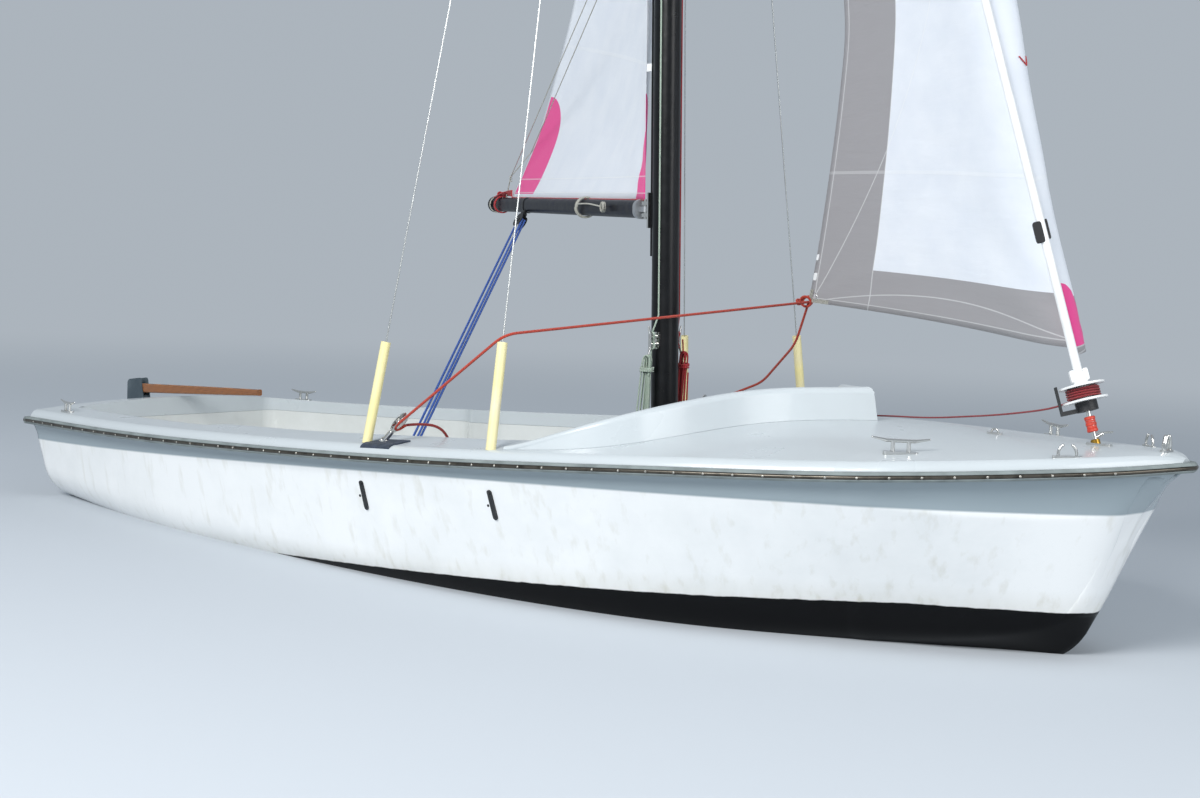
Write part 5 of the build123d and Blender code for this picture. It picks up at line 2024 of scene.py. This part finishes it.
    def lazy_jacks(self, leech: Points) -> None:
        """Thin lines from the boom's end up both sides of the sail to the mast.

        Args:
            leech: the sail's leech, from foot to head.
        """
        join = boom_point(2.13, 0, 0.125)
        bend = leech[np.argmin(np.abs(leech[:, 2] - JACK_BEND_Z))] + unit(leech[0] - BOOM_PIVOT) * 0.006
        for name, path in (
            ("lazy_jack_port", (join, mast_point(2.6) + vector(-0.03, 0.036, 0))),
            ("lazy_jack_starboard", (join, bend, mast_point(2.4) + vector(-0.03, -0.040, 0))),
        ):
            line = tube(split(np.array(path), 0.03), 0.002, 8)
            piece = make_piece(name, line, LINE_WHITE, None, "rope_white")
            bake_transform(piece)
        knots = [tube(np.array((boom_point(2.22, 0, 0.031), join)), 0.0024, 8)]
        for height in (0.0, -0.010, -0.020):
            place = join + BOOM_UP * height
            knots.append(loop(place, BOOM_OUT, BOOM_ACROSS, 0.005, 0.0024, 6, 12))
        make_piece("lazy_jack_strop", joined(knots), LINE_WHITE, Body.BOOM, "rope_white")


@dataclass
class Hull:
    """Finishes of the solids, the fair skin round the stem, and the heads of screws and bolts.

    Attributes:
        half: half the skin's width.
        low: height of the skin's foot.
        high: height of its top.
    """

    half: float = 0.10
    low: float = 0.12
    high: float = 0.565

    DRESSED = (
        (TOPSIDE, "hull_shell"),
        (DECKING, "deck_moulding spray_coaming"),
        (INSIDE, "cockpit_liner centreboard_case"),
        (RAIL_RUBBER, "rub_rail"),
        (RAIL_STRIP, "rub_rail_insert"),
        (FOIL_WHITE, "centreboard rudder_blade"),
        (POLISHED, "centreboard_pin rudder_gudgeons rudder_pintles mast_step bow_fittings fore_cleats"),
        (POLISHED, "aft_cleats stay_fitting gooseneck hounds jib_swivel halyard_cleats sheet_blocks"),
        (POLISHED, "masthead_fitting"),
        (PAD_NAVY, "sheet_pads"),
        (STRAP, "chainplate_straps"),
        (STOCK_PAINT, "rudder_stock"),
        (TILLER_WOOD, "tiller"),
        (MAST_BLACK, "mast"),
        (BOOM_BLACK, "boom"),
        (CASTING, "boom_casting"),
        (COVER, "shroud_covers"),
        (WIRE, "shrouds forestay"),
        (MOULDED_WHITE, "luff_foil furler_drum sail_slides"),
        (MOULDED_BLACK, "furler_cage furling_cleat mainsheet_block boom_block"),
    )
    # the stem's skin: how far it stands proud, and how deep its edges sink into the hull
    PROUD = 0.0008
    SUNK = 0.006
    SKIN = 0.012
    # distance between the rail's screws, and a bolt head's way out of the topside
    SCREW_STEP = 0.088
    BOLT_OUT = (0.0, -0.98, -0.18)

    def build(self) -> None:
        """Dress the solids and add the skin and the heads."""
        for finish, nodes in self.DRESSED:
            dress(nodes, finish)
        self.stem()
        self.rail_screws()
        self.strap_bolts()

    def stem(self) -> None:
        """Fair skin: nose - (nose - edge) |y / half|^p at each level, p met by the hull halfway out."""
        hull = frame["nodes"]["hull_shell"]
        levels = np.linspace(self.low, self.high, 46)
        across = np.linspace(-1, 1, 33)
        rows = []
        for level in levels:
            hits = [hull.ray_cast((3.0, self.half * y, level), (-1.0, 0.0, 0.0)) for y in across]
            reach = np.array([hit[1][0] for hit in hits])
            edge, middle = (reach[0] + reach[-1]) / 2, (reach[8] + reach[-9]) / 2
            swell = np.clip((reach.max() - middle) / (reach.max() - edge), 0.165, 0.6)
            rows.append((reach.max(), edge, math.log(swell) / math.log(0.5)))
        nose, edge, power = np.array(rows).T
        nose, power = smoothed(np.array((nose, power)), 5)
        ease = np.clip(np.minimum(levels - levels[0] - 0.05, levels[-1] - levels) / 0.06, 0, 1)
        tip = nose + 0.004 * ease
        x = tip[:, None] - (tip - edge)[:, None] * np.abs(across) ** power[:, None] + self.PROUD
        x[0] -= self.SUNK
        x[-1] -= self.SUNK
        x[:, (0, -1)] -= self.SUNK
        outer = np.stack(np.broadcast_arrays(x, self.half * across, levels[:, None]), -1)
        inner = outer - vector(self.SKIN, 0, 0)
        skin = sleeve(np.concatenate([outer, inner[:, ::-1]], axis=1))
        make_piece("hull_stem_skin", skin, TOPSIDE, Body.HULL, "hull_gelcoat")

    @staticmethod
    def near_points(node: str) -> Points:
        """A solid's points on the starboard side.

        Args:
            node: the solid's name.

        Returns:
            The points.
        """
        mesh = frame["nodes"][node].data
        flat = np.empty(len(mesh.vertices) * 3)
        mesh.vertices.foreach_get("co", flat)
        points = flat.reshape(-1, 3)
        return points[points[:, 1] < 0]

    def rail_screws(self) -> None:
        """Domed screws evenly spaced in the rail's metal strip, on both sides."""
        near = self.near_points("rub_rail_insert")
        rims = []
        for x in np.arange(-2.3, 2.3, 0.05):
            band = near[np.argsort(np.abs(near[:, 0] - x))[:90]]
            rims.append((band[:, 0].mean(), band[:, 1].min(), (band[:, 2].min() + band[:, 2].max()) / 2))
        spots = split(np.unique(np.array(rims), axis=0), self.SCREW_STEP)[1:-1]
        out = unit(np.cross(np.gradient(spots, axis=0), vector(0, 0, 1)))
        screws = [dome(spot, way, 0.0038, 0.0022, 8) for spot, way in zip(spots, out)]
        make_piece("rail_screws", both_sides(joined(screws)), SCREW_STEEL, Body.HULL, "fitting_steel")

    def strap_bolts(self) -> None:
        """Three bolt heads down each chainplate strap."""
        near = self.near_points("chainplate_straps")
        middle = (near[:, 0].min() + near[:, 0].max()) / 2
        out = unit(vector(*self.BOLT_OUT))
        bolts = []
        for strap in (near[near[:, 0] < middle], near[near[:, 0] > middle]):
            top, low = strap[strap[:, 2].argmax()], strap[strap[:, 2].argmin()]
            for share in (0.12, 0.5, 0.88):
                level = top[2] + (low[2] - top[2]) * share
                band = strap[np.argsort(np.abs(strap[:, 2] - level))[:24]]
                face = band[band[:, 1] < band[:, 1].min() + 0.0015]
                spot = vector(top[0] + (low[0] - top[0]) * share, face[:, 1].mean(), level)
                bolts.append(dome(spot, out, 0.0045, 0.0025))
        make_piece("strap_bolts", both_sides(joined(bolts)), STRAP, Body.HULL, "strap_black")


@dataclass
class Studio:
    """Floor, lights and camera.

    Attributes:
        eye: the camera's place.
        right: the way to its right.
        up: the way over it.
        lens_mm: its lens.
        sensor_mm: width of its sensor.
        floor_colour: the floor's colour near the boat.
        floor_reach: half the floor's width.
        fade: distances between which the floor passes into the backdrop.
        backdrop_colour: colour of the backdrop.
        backdrop_light: how strongly it shines.
        lamps: each light's name, place and power.
        lamp_size: width of both lights.
        aim: the point that they look at.
    """

    eye: tuple[float, float, float] = (4.47993, -5.20794, 1.17308)
    right: tuple[float, float, float] = (0.766584, 0.640589, 0.044661)
    up: tuple[float, float, float] = (-0.089273, 0.037442, 0.995303)
    lens_mm: float = 58.254
    sensor_mm: float = 36.0
    floor_colour: str = "C4CAD0"
    floor_reach: float = 60.0
    fade: tuple[float, float] = (3.5, 13.0)
    backdrop_colour: str = "B9C2CB"
    backdrop_light: float = 0.85
    lamps: tuple = (("key", (1.5, -8.5, 6.0), 860.0), ("fill", (8.0, -1.0, 3.5), 200.0))
    lamp_size: float = 4.0
    aim: tuple[float, float, float] = (0.2, 0.0, 0.8)

    def build(self) -> None:
        """Set the scene."""
        self.camera()
        self.floor()
        self.world()
        self.lights()
        bpy.context.scene.view_settings.view_transform = "Standard"

    def camera(self) -> None:
        """Stand the camera where the photograph was taken."""
        right, up = unit(np.array(self.right)), unit(np.array(self.up))
        back = np.cross(right, up)
        data = bpy.data.cameras.new("camera")
        data.lens = self.lens_mm
        data.sensor_width = self.sensor_mm
        data.clip_end = 200.0
        camera = bpy.data.objects.new("camera", data)
        rows = np.eye(4)
        rows[:3, 0], rows[:3, 1], rows[:3, 2], rows[:3, 3] = right, up, back, self.eye
        camera.matrix_world = Matrix(rows.tolist())
        bpy.context.scene.collection.objects.link(camera)
        bpy.context.scene.camera = camera

    def floor(self) -> None:
        """A wide pale floor at the waterline."""
        corners = np.array(((-1, -1, 0), (1, -1, 0), (1, 1, 0), (-1, 1, 0))) * self.floor_reach
        mesh = bpy.data.meshes.new("floor")
        mesh.from_pydata(corners.tolist(), [], [(0, 1, 2, 3)])
        floor = bpy.data.objects.new("floor", mesh)
        bpy.context.scene.collection.objects.link(floor)
        made = bpy.data.materials.new("floor_matt")
        made.use_nodes = True
        tree = made.node_tree
        shader = tree.nodes["Principled BSDF"]
        shader.inputs["Base Color"].default_value = linear(self.floor_colour)
        shader.inputs["Roughness"].default_value = 0.9
        self.fade_out(tree, shader)
        mesh.materials.append(made)

    def fade_out(self, tree: Tree, shader: Node) -> None:
        """Let the floor pass into the backdrop's tone, so that no line shows.

        Args:
            tree: the floor's nodes.
            shader: its surface shader.
        """
        far = add(tree, "ShaderNodeVectorMath", {0: coordinates(tree)}, operation="LENGTH").outputs["Value"]
        ends = {"Value": far, "From Min": self.fade[0], "From Max": self.fade[1]}
        share = add(tree, "ShaderNodeMapRange", ends, interpolation_type="SMOOTHSTEP").outputs["Result"]
        tone = {"Color": linear(self.backdrop_colour), "Strength": self.backdrop_light}
        glow = add(tree, "ShaderNodeEmission", tone).outputs["Emission"]
        both = {0: share, 1: shader.outputs["BSDF"], 2: glow}
        mixed = add(tree, "ShaderNodeMixShader", both).outputs["Shader"]
        tree.links.new(mixed, tree.nodes["Material Output"].inputs["Surface"])

    def world(self) -> None:
        """Even pale light all round, the same grey behind the boat."""
        world = bpy.data.worlds.new("studio")
        bpy.context.scene.world = world
        world.use_nodes = True
        sky = world.node_tree.nodes["Background"]
        sky.inputs["Color"].default_value = linear(self.backdrop_colour)
        sky.inputs["Strength"].default_value = self.backdrop_light

    def lights(self) -> None:
        """A large soft key from high on the left, and a weak fill from the right."""
        for name, place, power in self.lamps:
            data = bpy.data.lights.new(name, "AREA")
            data.size = self.lamp_size
            data.energy = power
            lamp = bpy.data.objects.new(name, data)
            lamp.location = place
            lamp.rotation_mode = "QUATERNION"
            lamp.rotation_quaternion = (Vector(self.aim) - Vector(place)).to_track_quat("-Z", "Y")
            bpy.context.scene.collection.objects.link(lamp)


def main() -> None:
    """Build the studio and each sub-assembly in order."""
    logging.basicConfig(level=logging.INFO, format="%(name)s %(message)s")
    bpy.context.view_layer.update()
    Studio().build()
    Hull().build()
    leech = Mainsail().build()
    BoomGear().build(leech[0])
    FurlerGear().build()
    clew = Jib().build()
    Rigging().build(clew, leech)


if __name__ == "__main__":
    main()
